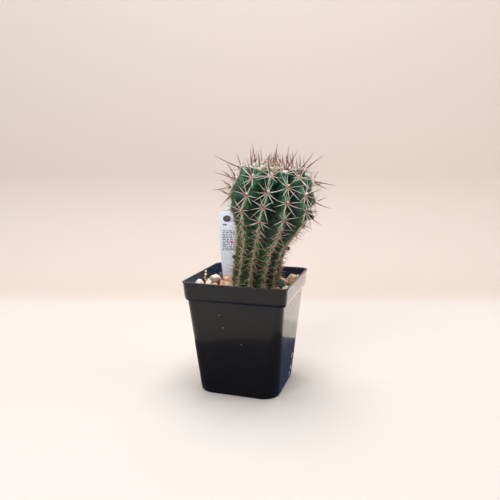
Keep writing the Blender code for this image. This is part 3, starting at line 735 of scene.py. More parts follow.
PINE_BARK = finish("pine_bark", bark, Roughness=0.9)
BARK_SIZE = np.array([2.2, 1.6, 8.6])
BARK_LEAN = 0.5
BARK_SINK = 0.6
BARK_SIDES = 20
PERLITE_ON_BARK = ((0.5, 0.75, 8.2), (0.3, 1.05, 6.0), (-0.1, 0.9, 3.9), (0.2, 0.85, 2.1))
rings = []
for level in np.linspace(0.0, 1.0, 26):
    swell = (1.0 - 0.55 * level ** 3) * (1.0 + 0.14 * math.sin(9.0 * level))
    ring = np.column_stack([circle(0.0, 0.0, swell, BARK_SIDES) * BARK_SIZE[:2] / 2, np.zeros(BARK_SIDES)])
    ring *= (1.0 + 0.16 * lumps(ring + [0.0, 0.0, BARK_SIZE[2] * level], 0.9, 5.0))[:, None]
    height = GROUND - BARK_SINK + (BARK_SIZE[2] + BARK_SINK) * level
    rings.append(ring + [BARK_PLACE[0] + BARK_LEAN * level, BARK_PLACE[1], height])
add_tube("bark_sliver", rings, PINE_BARK, "bark", ["bark_bit"])
rng = default_rng(5)
perlite = []
for across, radius, height in PERLITE_ON_BARK:
    form = break_flat(BALLS[3][0], rng, 6) * radius
    place = BARK_PLACE[0] + across, BARK_PLACE[1] - 0.6, GROUND + height
    perlite.append((form + place, BALLS[3][1], 0.8))
add_heap("perlite_on_bark", perlite, STONE["cream"], "bark")

# %% [markdown]
# ## The form of the plant
#
# The stem is a club with eleven ribs that leans as it grows. It is worked out as a surface of two numbers:
# the distance along a rib's crest, from the ground up to the sunken crown, and the turn, counted in ribs.
# The crest's profile and the leaning axis are smooth curves through a few points. Furrows sink between the
# crests, and each areole, the woolly pad that spines grow from, sits on a small swelling of its rib. Ribs of
# this plant stand in step with every second one, so the furrows sway between the swellings.

# %% Curves of the plant
STEM_AXIS = (                    # x, y and height over the ground
    (4.4, 1.2, -22.0), (4.4, 1.2, -5.0), (6.5, -1.4, 14.0), (9.6, -3.7, 28.0),
    (17.2, -8.9, 54.0), (20.2, -10.1, 68.0), (21.3, -11.0, 82.0),
)
CREST_PROFILE = (                # distance from the axis, and height over the ground
    (15.5, -4.0), (15.8, 5.0), (16.0, 22.0), (17.9, 36.5), (21.9, 45.0), (25.7, 54.0),
    (26.5, 63.0), (25.3, 70.0), (21.6, 76.6), (14.0, 79.4), (6.0, 78.7), (0.0, 77.0),
)
RIBS = 11
FIRST_RIB_ANGLE = math.radians(-121.0)


def smooth_points(points, per_span):
    """Points of a smooth curve through the given ones (Catmull-Rom, spaced by chord)."""
    pts = np.array(points, dtype=float)
    pts = np.vstack([2 * pts[0] - pts[1], pts, 2 * pts[-1] - pts[-2]])
    t = (np.arange(per_span) / per_span)[:, None]
    out = []
    for p0, p1, p2, p3 in zip(pts, pts[1:], pts[2:], pts[3:]):
        d01, d12, d23 = (np.linalg.norm(b - a) for a, b in ((p0, p1), (p1, p2), (p2, p3)))
        m1 = ((p1 - p0) / d01 - (p2 - p0) / (d01 + d12) + (p2 - p1) / d12) * d12
        m2 = ((p2 - p1) / d12 - (p3 - p1) / (d12 + d23) + (p3 - p2) / d23) * d12
        out.append(p1 * (2 * t**3 - 3 * t**2 + 1) + m1 * (t**3 - 2 * t**2 + t)
                   + p2 * (3 * t**2 - 2 * t**3) + m2 * (t**3 - t**2))
    return np.concatenate(out + [pts[-2][None]])


AXIS = smooth_points(STEM_AXIS, 12)
CREST = smooth_points(CREST_PROFILE, 10)
steps = np.linalg.norm(np.diff(CREST, axis=0), axis=1)
CREST_S = np.concatenate([[0.0], np.cumsum(steps)])
CREST_S -= next(s - h for s, h in zip(CREST_S, CREST[:, 1]) if h >= 0.0)
CREST_END = CREST_S[-1]
CREST_SLOPE = unit(np.stack([np.gradient(column, CREST_S) for column in CREST.T], axis=1))
print("length along a crest, mm:", round(CREST_END, 1))

# %% Areoles along each rib
AREOLE_STEPS = ((0.0, 5.0), (48.0, 5.2), (60.0, 9.4), (78.0, 10.2), (88.0, 6.0), (98.0, 3.5))
AREOLE_ANCHORS = (75.7, 80.7)    # one areole of the even ribs and one of the odd ribs
AREOLE_LOWEST = 1.5
AREOLE_HIGHEST = 93.0
AREOLE_ROWS = {                  # the ribs in front, by crest distance: no plant spaces them evenly
    10: (3.2, 8.3, 13.3, 18.4, 23.4, 28.5, 33.7, 38.8, 44.0, 51.5, 60.5, 67.5, 74.5, 85.9, 91.9),
    0: (3.5, 9.0, 14.5, 19.5, 24.0, 28.5, 33.5, 38.5, 44.0, 50.0, 56.5, 66.0, 77.5, 85.5),
    1: (2.5, 7.0, 12.5, 17.5, 22.5, 27.0, 33.0, 40.0, 44.0, 48.0, 54.0, 62.0, 70.0, 79.5, 88.9),
    2: (3.0, 8.0, 14.5, 20.5, 25.0, 30.5, 37.5, 43.0, 47.0, 51.0, 57.5, 66.0, 73.5, 83.5, 91.9),
    3: (5.7, 10.7, 15.8, 20.9, 26.0, 31.1, 36.2, 41.4, 47.0, 54.5, 62.5, 70.0, 78.5, 87.4),
}


def ramp(knots, x):
    return np.interp(x, [k for k, _ in knots], [v for _, v in knots])


def areole_distances(rib):
    """Crest distances of the areoles of one rib, from the lowest up."""
    found = [AREOLE_ANCHORS[rib % 2]]
    while found[0] > AREOLE_LOWEST:
        found.insert(0, found[0] - ramp(AREOLE_STEPS, found[0] - 3.0))
    while found[-1] < AREOLE_HIGHEST:
        found.append(found[-1] + ramp(AREOLE_STEPS, found[-1] + 2.0))
    return [s for s in found if AREOLE_LOWEST <= s <= AREOLE_HIGHEST]


AREOLES = [list(AREOLE_ROWS.get(rib) or areole_distances(rib)) for rib in range(RIBS)]
print("areoles:", sum(len(row) for row in AREOLES))

# %% Sizes of the ribs
FURROW_DEPTHS = ((0.0, 0.19), (38.0, 0.19), (60.0, 0.24), (74.0, 0.28), (84.0, 0.34), (93.0, 0.44))
SWELLS = ((0.0, -1.1), (36.0, -1.0), (48.0, -0.2), (54.0, 0.7), (62.0, 1.8), (94.0, 2.4))    # mm at an areole
SWELL_LEVEL = 0.45               # what a swelling rises from, so that the rib keeps its width
SWELL_BELOW = 0.22               # how fast it falls off below and above, as a share of the areole step
SWELL_ABOVE = 0.46
FURROW_SWAY = 0.17               # how far a swelling pushes the furrow, as a share of a rib
KEEL_HEIGHT = 0.3                # fine keel along each crest
CREST_WEAVE = {10: 3.5, 0: 4.5, 1: -3.0, 2: 3.5, 3: -4.0}    # degrees a stem's crest bows between areoles
CROWDED_SIDE = math.radians(-70.0)   # the ribs of the head stand closer together on this side
CROWDING = 0.25
SWAY_GROWS = (45.0, 60.0)        # crest distances between which each of these comes in
CROWDING_GROWS = (55.0, 77.0)
WEAVE_GROWS = (52.0, 44.0)
FURROW_GROWS = (-4.0, 8.0)
SWAY_AT = (45.0, 57.0, 66.0, 77.0, 90.0)     # crest distances of the next two tables
STRAIGHT = (0.0,) * 5
RIB_REACH = {                    # mm by which some crests stand out
    4: (0.0, 0.0, -0.6, -0.9, -0.5), 5: (0.0, 0.0, -1.0, -1.3, -0.6),
    8: (0.0, 0.3, 1.0, 1.1, 0.5), 9: (0.0, 0.5, 2.0, 2.2, 1.0),
}
RIB_SWAY = (                     # degrees by which each rib strays from an even turn
    (0.0, 3.5, 6.0, 3.0, 4.0), (0.0, 0.0, 1.5, 0.5, 0.0), (0.0, -1.0, -1.0, 1.0, 1.5),
    (0.0, 2.5, -0.5, -7.0, -6.0), (0.0, 0.0, -5.0, -12.0, -10.0), (0.0, 0.0, -3.0, -9.0, -8.0),
    (0.0, 0.0, -2.0, -5.0, -4.0), STRAIGHT, (0.0, 0.0, 2.0, 4.0, 3.0), (0.0, 0.0, 4.0, 7.0, 5.0),
    (0.0, 1.0, 5.0, 10.0, 8.0),
)


# %% The skin as a surface
def swelling(distance, rib):
    """From 0 to 1: how near to an areole of its rib each point is, steeper on the lower side."""
    out = np.zeros_like(distance)
    for index in range(RIBS):
        here = rib == index
        offsets = distance[here][:, None] - np.array(AREOLES[index])[None, :]
        nearest = offsets[np.arange(len(offsets)), np.abs(offsets).argmin(axis=1)]
        reach = np.where(nearest < 0.0, SWELL_BELOW, SWELL_ABOVE) * ramp(AREOLE_STEPS, distance[here])
        out[here] = np.exp(-(nearest / reach) ** 2)
    return out


def axis_at(height):
    """Points of the axis at heights over the ground, with its cross directions and its own direction."""
    def at(level):
        return np.stack([np.interp(level, AXIS[:, 2], AXIS[:, k]) for k in range(3)], axis=-1)
    along = unit(at(height + 2.5) - at(height - 2.5))
    side = unit(np.array([1.0, 0.0, 0.0]) - along * along[..., :1])
    return at(height) + [0.0, 0.0, GROUND], side, np.cross(along, side), along


def grown_in(distance, start, stop):
    """From 0 to 1 between two crest distances."""
    return np.clip((distance - start) / (stop - start), 0.0, 1.0)


# %% A point of the skin
def skin_at(distance, turns):
    """Points of the skin, outward directions, and fields: furrow (0 crest, 1 furrow) and swell."""
    distance, turns = np.broadcast_arrays(np.asarray(distance, float), np.asarray(turns, float))
    left = np.floor(turns).astype(int) % RIBS
    right = (left + 1) % RIBS
    share = turns - np.floor(turns)
    swell_left, swell_right = swelling(distance, left), swelling(distance, right)
    middle = 0.5 + FURROW_SWAY * grown_in(distance, *SWAY_GROWS) * (swell_left - swell_right)
    furrow = np.where(share < middle, share / middle, (1.0 - share) / (1.0 - middle))
    swell = np.where(share < middle, swell_left, swell_right)
    lines = (*CREST.T, *CREST_SLOPE.T)
    reach, height, slope_out, slope_up = (np.interp(distance, CREST_S, line) for line in lines)
    depth = ramp(FURROW_DEPTHS, distance) * np.maximum(grown_in(distance, *FURROW_GROWS), 0.12)
    sink = depth * reach * 0.5 * (furrow + 0.5 - 0.5 * np.cos(math.pi * furrow))
    lift = ramp(SWELLS, distance) * (swell * (1.0 - furrow) ** 0.9 - SWELL_LEVEL)
    lift = lift + KEEL_HEIGHT * np.exp(-((furrow / 0.09) ** 2))
    sink = sink - lift * np.clip(reach / 12.0, 0.0, 1.0)
    centre, side, other, along = axis_at(height + sink * slope_out)
    angle = FIRST_RIB_ANGLE + 2 * math.pi * turns / RIBS
    angle = angle - 0.5 * CROWDING * grown_in(distance, *CROWDING_GROWS) * np.sin(2 * (angle - CROWDED_SIDE))
    bulge = np.zeros_like(angle)
    for rib, sway in enumerate(RIB_SWAY):
        near = np.where(left == rib, 1.0 - share, np.where(right == rib, share, 0.0))
        between = 1.0 - np.where(left == rib, swell_left, swell_right)
        weave = CREST_WEAVE.get(rib, 0.0) * between * grown_in(distance, *WEAVE_GROWS)
        angle = angle + np.radians(near * (np.interp(distance, SWAY_AT, sway) + weave))
        bulge = bulge + near * np.interp(distance, SWAY_AT, RIB_REACH.get(rib, STRAIGHT))
    out = side * np.cos(angle)[..., None] + other * np.sin(angle)[..., None]
    normal = unit(out * slope_up[..., None] - along * slope_out[..., None])
    radius = np.maximum(reach - sink * slope_up, 0.0) + bulge
    return centre + out * radius[..., None], normal, furrow, swell


# %% [markdown]
# ## Cactus skin
#
# The skin is a thick waxy cuticle over wet green tissue. Wax gives it a soft, wide sheen, and the tissue a
# little glow from inside. New skin near the crown is blue-green with a thin pale bloom; lower down it turns a
# deeper green, then olive, and corky tan just over the soil. The crest of each rib is paler, almost
# yellow-green: partly as the tissue is thin and worn there, partly a painted highlight of the light that the
# ridges catch. The furrows, and the notches between the youngest areoles, are darkened with painted shade,
# darkest on the crown. Patches of a few millimetres are mottled lighter and darker. Breathing pores pepper
# it with pale dots finer than the picture can show, so they are drawn 0.9 mm apart.


# %% The skin's finish
def cactus_skin(node, place):
    fields = ("age", "furrow", "swell")
    age, furrow, swell = (node("Attribute", attribute_name=field, output="Fac") for field in fields)
    patch = node("TexNoise", place, per_mm(7.0), 4.0)
    fine = node("TexNoise", place, per_mm(1.1), 3.0)
    shifted = node("Math", patch, 0.16, age, operation="MULTIPLY_ADD")
    green = node("ValToRGB", shifted, stops=(
        (0.04, "#33371f"), (0.14, "#24391a"), (0.42, "#1f3c1c"), (0.60, "#1a3823"), (0.80, "#1c4935"),
        (0.92, "#2a6c50"), (1.0, "#5d8f77")))
    # The crests are paler: partly the thin, worn tissue, partly a painted highlight where the ridges catch
    # the light.
    worn = node("ValToRGB", age, stops=(
        (0.05, "#6c8240"), (0.45, "#5e8044"), (0.7, "#5c8c5c"), (0.88, "#5c9474")))
    broad_paling_and_highlight = node("MapRange", furrow, 0.34, 0.05, To_Max=0.5)
    rounded = node("Mix", broad_paling_and_highlight, green, worn)
    crest = node("MapRange", furrow, 0.10, 0.02, To_Max=0.7)
    ragged = node("Math", crest, fine, operation="MULTIPLY")
    ridge_line_and_highlight = node("Math", ragged, 1.5, operation="MULTIPLY", use_clamp=True)
    crest_paled_and_highlit = node("Mix", ridge_line_and_highlight, rounded, "#a4c2aa")
    # Painted shade: deep in the furrows and notches the skin is darkened towards near-black green.
    painted_furrow_shade = node("MapRange", furrow, 0.32, 0.88, To_Max=0.8)
    furrow_shaded = node("Mix", painted_furrow_shade, crest_paled_and_highlit, "#0a120c")
    pores = node("MapRange", node("TexVoronoi", place, per_mm(0.9)), 0.22, 0.05, To_Max=0.12)
    dotted = node("Mix", pores, furrow_shaded, "#9db896")
    near = node("MapRange", swell, 0.75, 1.0, To_Max=0.25)
    tinted = node("Mix", near, dotted, "#6d8a66")
    mottle = node("MapRange", node("TexNoise", place, per_mm(2.0), 5.0), 0.35, 0.65, 0.55, 1.5)
    mottled = node("VectorMath", tinted, mottle, operation="SCALE")
    wax = node("MapRange", patch, To_Min=0.36, To_Max=0.52)
    return dict(Base_Color=mottled, Roughness=wax, Normal=node("Bump", 0.5, 0.12 * MM, Height=fine))


CACTUS_SKIN = finish("cactus_skin", cactus_skin, IOR=1.42, Subsurface_Weight=0.06, Subsurface_Scale=0.002,
                     Subsurface_Radius=(0.6, 1.0, 0.35))

# %% Make the skin
COLUMNS_PER_RIB = 24
SKIN_ROWS = 250
# Painted shade in the furrows by crest distance, and in the notches between areoles of some ribs.
FURROW_SHADE = ((38.0, 0.62), (54.0, 0.95), (66.0, 0.8), (80.0, 0.8), (86.0, 1.5))    # darkest on the crown
CROWN_NOTCH_SHADE = {9: 1.1, 10: 1.1, 3: 0.9, 4: 1.0}    # how dark the notches of some ribs are
NECK = ((-20.0, 4.0), (-12.4, 9.0))     # height and radius of the root neck's rings
columns = RIBS * COLUMNS_PER_RIB
turns = np.arange(columns) / COLUMNS_PER_RIB
angle = FIRST_RIB_ANGLE + 2 * math.pi * turns / RIBS
notch_shades = np.array([CROWN_NOTCH_SHADE.get(rib, 0.0) for rib in np.round(turns).astype(int) % RIBS])
plain = np.zeros(columns)
rows = []                        # points, furrow, swell and age of each ring
for level, reach in NECK:
    centre, side, other, _ = axis_at(np.full(columns, level))
    ring = centre + (side * np.cos(angle)[:, None] + other * np.sin(angle)[:, None]) * reach
    rows.append((ring, plain, plain, plain))
for distance in np.linspace(CREST_S[0], CREST_END - 1.2, SKIN_ROWS):
    ring, _, furrow, swell = skin_at(np.full(columns, distance), turns)
    notch_shade = notch_shades * (1.0 - swell) * grown_in(distance, 74.0, 77.0)
    shade = np.maximum(furrow * ramp(FURROW_SHADE, distance), notch_shade)
    rows.append((ring, shade, swell * (1.0 - furrow) ** 2, plain + max(distance, 0.0) / CREST_END))
points, furrow, swell, age = (np.concatenate(part) for part in zip(*rows))
points += 0.10 * lumps(points, 3.0, 2.0)[:, None] * unit(points - axis_at(points[:, 2] - GROUND)[0])
add_piece("cactus_body", points, closed_faces(len(rows), columns), CACTUS_SKIN, "cactus_skin", ["cactus"],
          crease=SMOOTH, furrow=furrow, swell=swell, age=age)

# %% [markdown]
# ## Spines
#
# A spine is a leaf turned into a needle: thickest just over its swollen foot, then tapering evenly to a
# sharp tip, and often a little bowed. Every areole has a star of radial spines that lie close to the skin,
# and one to three central spines that point out. One function makes any number of needles at once from
# their roots, tips and thickness, and keeps how far along each point is, for the colour.


# %% Needles
def make_needles(roots, tips, radii, bows, sides=6, rows=7):
    """Closed tapered needles: points, faces, each point's share of its needle, and points per needle."""
    shares = np.linspace(0.0, 1.0, rows) ** 1.25
    axis = tips - roots
    along = unit(axis)
    helper = np.where(np.abs(along[:, 2:]) > 0.9, [[1.0, 0.0, 0.0]], [[0.0, 0.0, 1.0]])
    side = unit(np.cross(along, helper))
    other = np.cross(along, side)
    spread = shares[None, :, None]
    centres = roots[:, None] + axis[:, None] * spread + bows[:, None] * 4.0 * spread * (1.0 - spread)
    taper = (1.0 - shares) ** 0.72 * (1.0 + 0.45 * np.exp(-((shares / 0.07) ** 2)))
    angles = np.linspace(0.0, 2 * math.pi, sides, endpoint=False)
    ring = side[:, None, None] * np.cos(angles)[:, None] + other[:, None, None] * np.sin(angles)[:, None]
    body = centres[:, :-1, None] + ring * (radii[:, None] * taper[None, :-1])[:, :, None, None]
    points = np.concatenate([body.reshape(len(roots), -1, 3), tips[:, None]], axis=1).reshape(-1, 3)
    each = (rows - 1) * sides + 1
    top = (rows - 2) * sides
    one = grid_faces(rows - 1, sides) + [list(range(sides))[::-1]]
    one += [[top + i, top + (i + 1) % sides, each - 1] for i in range(sides)]
    faces = [[corner + first for corner in face] for first in range(0, len(points), each) for face in one]
    return points, faces, np.tile([*np.repeat(shares[:-1], sides), 1.0], len(roots)), each


# %% Directions on an areole
def areole_frames():
    """Rib, crest distance, place, and outward, upward and sideways direction of each areole."""
    ribs = np.concatenate([[rib] * len(row) for rib, row in enumerate(AREOLES)])
    distances = np.concatenate(AREOLES)
    places, normals, _, _ = skin_at(distances, ribs)
    higher, _, _, _ = skin_at(np.minimum(distances + 1.0, CREST_END - 1.0), ribs)
    rise = higher - places
    up = unit(rise - normals * np.sum(rise * normals, axis=1, keepdims=True))
    return list(zip(ribs, distances, places, normals, up, np.cross(up, normals)))


AREOLE_FRAMES = areole_frames()
print("areoles framed:", len(AREOLE_FRAMES))

# %% [markdown]
# The longest central spines give the head its outline, so those are placed one by one. All other spines
# follow the plant's own rule: longer on the widest part of the head, shorter on the slim stem and on the
# youngest areoles at the crown.

# %% The longest spines
LONG_SPINES = (      # rib, crest distance, length, rise over the level, swing off the rib's direction
    (10, 85.9, 12.3, 80.0, -91.0), (9, 88.9, 14.9, 77.0, -27.0), (9, 88.9, 6.1, 68.0, -131.0),
    (9, 80.7, 9.7, 70.0, -5.0), (9, 80.7, 19.0, 24.0, 19.0), (10, 74.5, 14.3, 17.0, -12.0),
    (10, 74.5, 10.1, 59.0, -26.0), (9, 70.5, 7.9, 41.0, 15.0), (10, 67.5, 12.7, -10.0, -8.0),
    (10, 60.5, 8.8, -49.0, 2.0), (7, 88.9, 15.0, 77.0, -41.0), (6, 91.9, 8.8, 64.0, 100.0),
    (6, 91.9, 7.1, 80.0, 32.0), (6, 85.9, 12.9, 79.0, 6.0), (6, 85.9, 7.6, 79.0, 59.0),
    (2, 83.5, 14.8, 58.0, 89.0), (4, 85.9, 13.4, 50.0, 19.0), (4, 85.9, 9.5, 80.0, 115.0),
    (5, 80.7, 15.9, 37.0, -18.0), (5, 80.7, 7.2, 50.0, -14.0), (5, 80.7, 9.7, 80.0, 75.0),
    (3, 78.5, 12.6, 75.0, 179.0), (4, 75.7, 7.2, 60.0, 25.0), (4, 75.7, 15.6, -11.0, 5.0),
    (4, 75.7, 11.2, -28.0, 2.0), (4, 65.7, 10.7, -21.0, 3.0), (4, 56.2, 8.9, -34.0, 0.0),
    (1, 79.5, 6.8, 75.0, -115.0), (1, 88.9, 8.4, 73.0, -110.0),
)
LONG_TIP = 1.06                  # the last bit of a tip is too thin to see
LONG_RADII = ((6.0, 0.34), (13.0, 0.46), (19.0, 0.52))

# %% Sizes of the other spines
RADIAL_LENGTHS = ((0.0, 6.8), (36.0, 6.8), (52.0, 7.6), (66.0, 9.6), (80.0, 10.8), (89.0, 9.4), (95.0, 5.0))
CENTRAL_LENGTHS = ((0.0, 5.0), (40.0, 6.0), (52.0, 7.5), (66.0, 10.5), (82.0, 13.5), (95.0, 9.0))
CENTRAL_RADII = ((50.0, 0.22), (54.0, 0.40), (80.0, 0.40), (88.0, 0.28))
HEAD_START = 51.0                # crest distances that part the plant's zones
FOOT_END = 24.0
LOWEST_END = 14.0                # below it, spines turn up from the gravel
LOWEST_TILT = 45.0
CENTRALS_START = 60.0            # from here up, an areole has more than one central spine
HEAD_STAR, STEM_STAR, FOOT_STAR = (8, 11), (7, 10), (9, 13)      # fewest spines, and one more than most
HEAD_RADIALS = ((62.0, 78.0), (0.80, 1.12), 0.25)                # tilts, shares of the length, and radius
STEM_RADIALS = ((42.0, 82.0), (0.5, 1.3), 0.14)
SPINE_SINK = 0.5
BOX_MARGIN = 0.15
box_low, box_high = (np.array(corner) / MM for corner in cad_box)


def within_box(roots, tips):
    """Shortens a needle that would leave the fixed model's box."""
    way = tips - roots
    room = np.where(way > 0.0, (box_high - BOX_MARGIN - roots) / np.maximum(way, 1e-9),
                    (box_low + BOX_MARGIN - roots) / np.minimum(way, -1e-9))
    return roots + way * np.clip(room.min(axis=1, keepdims=True), 0.1, 1.0)


def stays_clear(tips):
    """Whether each tip keeps off the label, the ground and the pot's rim."""
    offset = tips - np.array([*LABEL_FOOT, GROUND])
    off_label = (np.abs(offset @ LABEL_ACROSS) > 9.0) | (offset @ LABEL_BACK < -1.0)
    widest = np.abs(tips[:, :2]).max(axis=1)
    off_rim = (tips[:, 2] > POT_HEIGHT + 0.6) | (widest < POT_BAND_TOP_HALF - POT_WALL - 1.0)
    return off_label & off_rim & (tips[:, 2] > GROUND - 1.2)


# %% Grow the spines
def grow_radials(rng):
    """Root, tip, radius and age of each spine in the stars of radial spines."""
    grown = []
    for _, distance, place, normal, up, side in AREOLE_FRAMES:
        in_head = distance > HEAD_START
        count = rng.integers(*(HEAD_STAR if in_head else STEM_STAR if distance > FOOT_END else FOOT_STAR))
        tilts, shares, thick = HEAD_RADIALS if in_head else STEM_RADIALS
        first = rng.uniform(0.0, 360.0)
        for i in range(count):
            turn = math.radians(first + 360.0 * i / count + rng.normal(0.0, 7.0))
            flat = up * math.cos(turn) + side * math.sin(turn)
            tilt = math.radians(rng.uniform(*tilts))
            if distance < LOWEST_END and flat[2] < 0.0:
                tilt = math.radians(LOWEST_TILT)
            direction = normal * math.cos(tilt) + flat * math.sin(tilt)
            length = ramp(RADIAL_LENGTHS, distance) * rng.uniform(*shares)
            root = place + flat * 0.55 - normal * SPINE_SINK
            tip = root + direction * (length + SPINE_SINK)
            grown.append((root, tip, thick * rng.uniform(0.8, 1.1), distance / CREST_END))
    return grown


def grow_centrals(rng):
    """The same for the central spines, the longest ones among them."""
    grown = []
    for rib, distance, place, normal, up, side in AREOLE_FRAMES:
        age = distance / CREST_END
        chosen = [row for row in LONG_SPINES if row[0] == rib and abs(row[1] - distance) < 1.0]
        for _, _, length, rise, swing in chosen:
            level = FIRST_RIB_ANGLE + 2 * math.pi * rib / RIBS + math.radians(swing)
            steep = math.radians(rise)
            flat = math.cos(steep)
            direction = np.array([math.cos(level) * flat, math.sin(level) * flat, math.sin(steep)])
            tip = place + direction * length * LONG_TIP
            grown.append((place - normal * SPINE_SINK, tip, ramp(LONG_RADII, length), age))
        wanted = rng.integers(2, 4) if distance > CENTRALS_START else 1
        for _ in range(wanted - len(chosen)):
            lean = math.radians(rng.uniform(6.0, 34.0))
            lift = unit(up * rng.uniform(0.2, 1.0) + side * rng.uniform(-0.9, 0.9))
            direction = normal * math.cos(lean) + lift * math.sin(lean)
            length = ramp(CENTRAL_LENGTHS, distance) * rng.uniform(0.70, 1.05)
            root = place - normal * SPINE_SINK + lift * 0.3
            tip = root + direction * (length + SPINE_SINK)
            grown.append((root, tip, ramp(CENTRAL_RADII, distance), age))
    return grown


# %% [markdown]
# ## Spine colours
#
# Spines are dead, dry tissue, hard as horn. Radial spines are cream with a rosy tinge and a brownish tip.
# Central spines start dark red-brown at the foot and pale to mauve-brown. Low on the stem all of them have
# weathered to a dull orange-tan. Their fibres are too fine for the picture, so they are drawn at 0.3 mm.


# %% Spine finishes
def spine_finish(name, foot, middle, tip, old):
    def build(node, place):
        fields = ("along", "age", "tone")
        along, age, tone = (node("Attribute", attribute_name=field, output="Fac") for field in fields)
        colour = node("ValToRGB", along, stops=((0.0, foot), (1.0, tip), (0.25, middle), (0.7, middle)))
        older = node("MapRange", age, 0.60, 0.15, To_Max=0.8)
        weathered = node("Mix", tone, *old)
        aged = node("Mix", older, colour, weathered)
        shade = node("MapRange", tone, To_Min=0.75, To_Max=1.15)
        toned = node("VectorMath", aged, shade, operation="SCALE")
        fibre = node("TexNoise", place, per_mm(0.3), 2.0)
        return dict(Base_Color=toned, Normal=node("Bump", 0.3, 0.03 * MM, Height=fibre))
    return finish(name, build, Roughness=0.45, IOR=1.54)


RADIAL_HORN = spine_finish("radial_spine_horn", "#a88070", "#e4d8ca", "#b29a8e", ("#7e4c34", "#dfc3a2"))
CENTRAL_HORN = spine_finish("central_spine_horn", "#321012", "#774a48", "#7a5652", ("#6e3626", "#d8a480"))
YOUNG_HORN = spine_finish("young_spine_horn", "#7a4434", "#bf8a6e", "#8a5c50", ("#7a4434", "#bf8a6e"))


def add_spines(name, grown, look, rng):
    roots, tips, radii, ages = (np.array(part) for part in zip(*grown))
    tips = within_box(roots, tips)
    clear = stays_clear(tips)
    roots, tips, radii, ages = roots[clear], tips[clear], radii[clear], ages[clear]
    length = np.linalg.norm(tips - roots, axis=1, keepdims=True)
    bend = np.where(ages < 0.5, 0.045, 0.018)[:, None]
    bows = np.cross(unit(tips - roots), rng.normal(size=roots.shape)) * length * bend
    points, faces, along, each = make_needles(roots, tips, radii, bows)
    age, tone = (np.repeat(values, each) for values in (ages, rng.uniform(0.0, 1.0, len(roots))))
    add_piece(name, points, faces, look, "cactus_skin", crease=70.0, along=along, age=age, tone=tone)
    print(name, "has", len(roots), "spines")


add_spines("radial_spines", grow_radials(default_rng(101)), RADIAL_HORN, default_rng(1))
add_spines("central_spines", grow_centrals(default_rng(102)), CENTRAL_HORN, default_rng(2))

# %% [markdown]
# ## Wool
#
# Each areole is a felt of short hairs. It is white on the youngest, then browns, and ends as a rusty tan
# crust low on the stem. A small dome gives the felt its body, and short curved hairs give it a soft edge.
# The younger areoles also carry one or two white tufts over their spines. The crown itself is a nest of wool
# and of new orange-tan spines, packed close because the areoles there have not grown apart yet.


# %% Felt finish
def felt(node, place):
    age = node("Attribute", attribute_name="age", output="Fac")
    fluff = node("TexNoise", place, per_mm(0.6), 4.0)
    shifted = node("Math", fluff, 0.24, age, operation="MULTIPLY_ADD")
    colour = node("ValToRGB", shifted, stops=(
        (0.10, "#ac8468"), (0.36, "#cc9870"), (0.60, "#b2866c"), (0.78, "#b08a7e"), (0.90, "#c9a99d"),
        (0.98, "#fbf8f4"), (1.0, "#f3dcc0")))
    return dict(Base_Color=colour, Normal=node("Bump", 0.8, 0.2 * MM, Height=fluff))


AREOLE_FELT = finish("areole_felt", felt, Roughness=0.95, Specular_IOR_Level=0.15, Sheen_Weight=0.4,
                     Subsurface_Weight=0.3, Subsurface_Scale=0.001)

# %% Make the felt pads
PAD_SIZES = ((0.0, 0.8), (40.0, 1.05), (52.0, 1.25), (70.0, 1.4), (86.0, 1.5), (95.0, 1.4))
PAD_SHAPE = np.array([1.0, 1.15, 0.55])
TUFT_SHAPE = np.array([0.54, 0.48, 0.60])
TUFT_START = 64.0
TUFTS = ((-0.45, 0.4), (0.1,), (-0.3, 0.35), (0.3,))    # places across the areole, in pad sizes
TUFT_AGE = 0.86
HAIRS_PER_PAD = 46
HAIR_RADIUS = 0.07
HAIR_BOW = 0.12


def felt_ball(centre, axes, shape, roughness, rng):
    """A rough ball with its sizes along an areole's own directions."""
    form = BALLS[2][0] * (1.0 + roughness * rng.normal(size=(len(BALLS[2][0]), 1)))
    return centre + (form * shape) @ axes


def add_hairs(name, roots, tips, ages, radius, bows, rows):
    radii = np.full(len(roots), radius)
    points, faces, _, each = make_needles(np.array(roots), np.array(tips), radii, bows, sides=3, rows=rows)
    add_piece(name, points, faces, AREOLE_FELT, "cactus_skin", crease=SMOOTH, age=np.repeat(ages, each))


rng = default_rng(77)
pads = []
hair_roots, hair_tips, hair_ages = [], [], []
for _, distance, place, normal, up, side in AREOLE_FRAMES:
    axes = np.array([side, up, normal])
    size = ramp(PAD_SIZES, distance)
    pad = felt_ball(place - normal * 0.15, axes, size * PAD_SHAPE, 0.22, rng)
    pads.append((pad, BALLS[2][1], min(distance / CREST_END, 0.80) + rng.normal(0.0, 0.05)))
    for across in TUFTS[rng.integers(len(TUFTS))] if distance > TUFT_START else ():
        centre = place + size * np.array([across, 0.85, 0.35]) @ axes
        pads.append((felt_ball(centre, axes, size * TUFT_SHAPE, 0.12, rng), BALLS[2][1], TUFT_AGE))
    for _ in range(HAIRS_PER_PAD):
        turn = rng.uniform(0.0, 2 * math.pi)
        reach = size * math.sqrt(rng.uniform(0.0, 1.0))
        flat = side * math.cos(turn) + up * math.sin(turn)
        lean = normal * rng.uniform(0.3, 1.0) + flat * rng.uniform(0.2, 1.0) + up * 0.3
        hair_roots.append(place + flat * reach * 0.9 + normal * 0.25)
        hair_tips.append(hair_roots[-1] + lean * rng.uniform(0.5, 1.0) * size)
        hair_ages.append(distance / CREST_END + 0.10 * (math.sin(turn) > 0.3) * (distance > 77.0))
add_heap("areole_pads", pads, AREOLE_FELT, "cactus_skin", "age", crease=SMOOTH)
bows = rng.normal(size=(len(hair_roots), 3)) * HAIR_BOW
add_hairs("areole_hairs", hair_roots, hair_tips, hair_ages, HAIR_RADIUS, bows, 4)

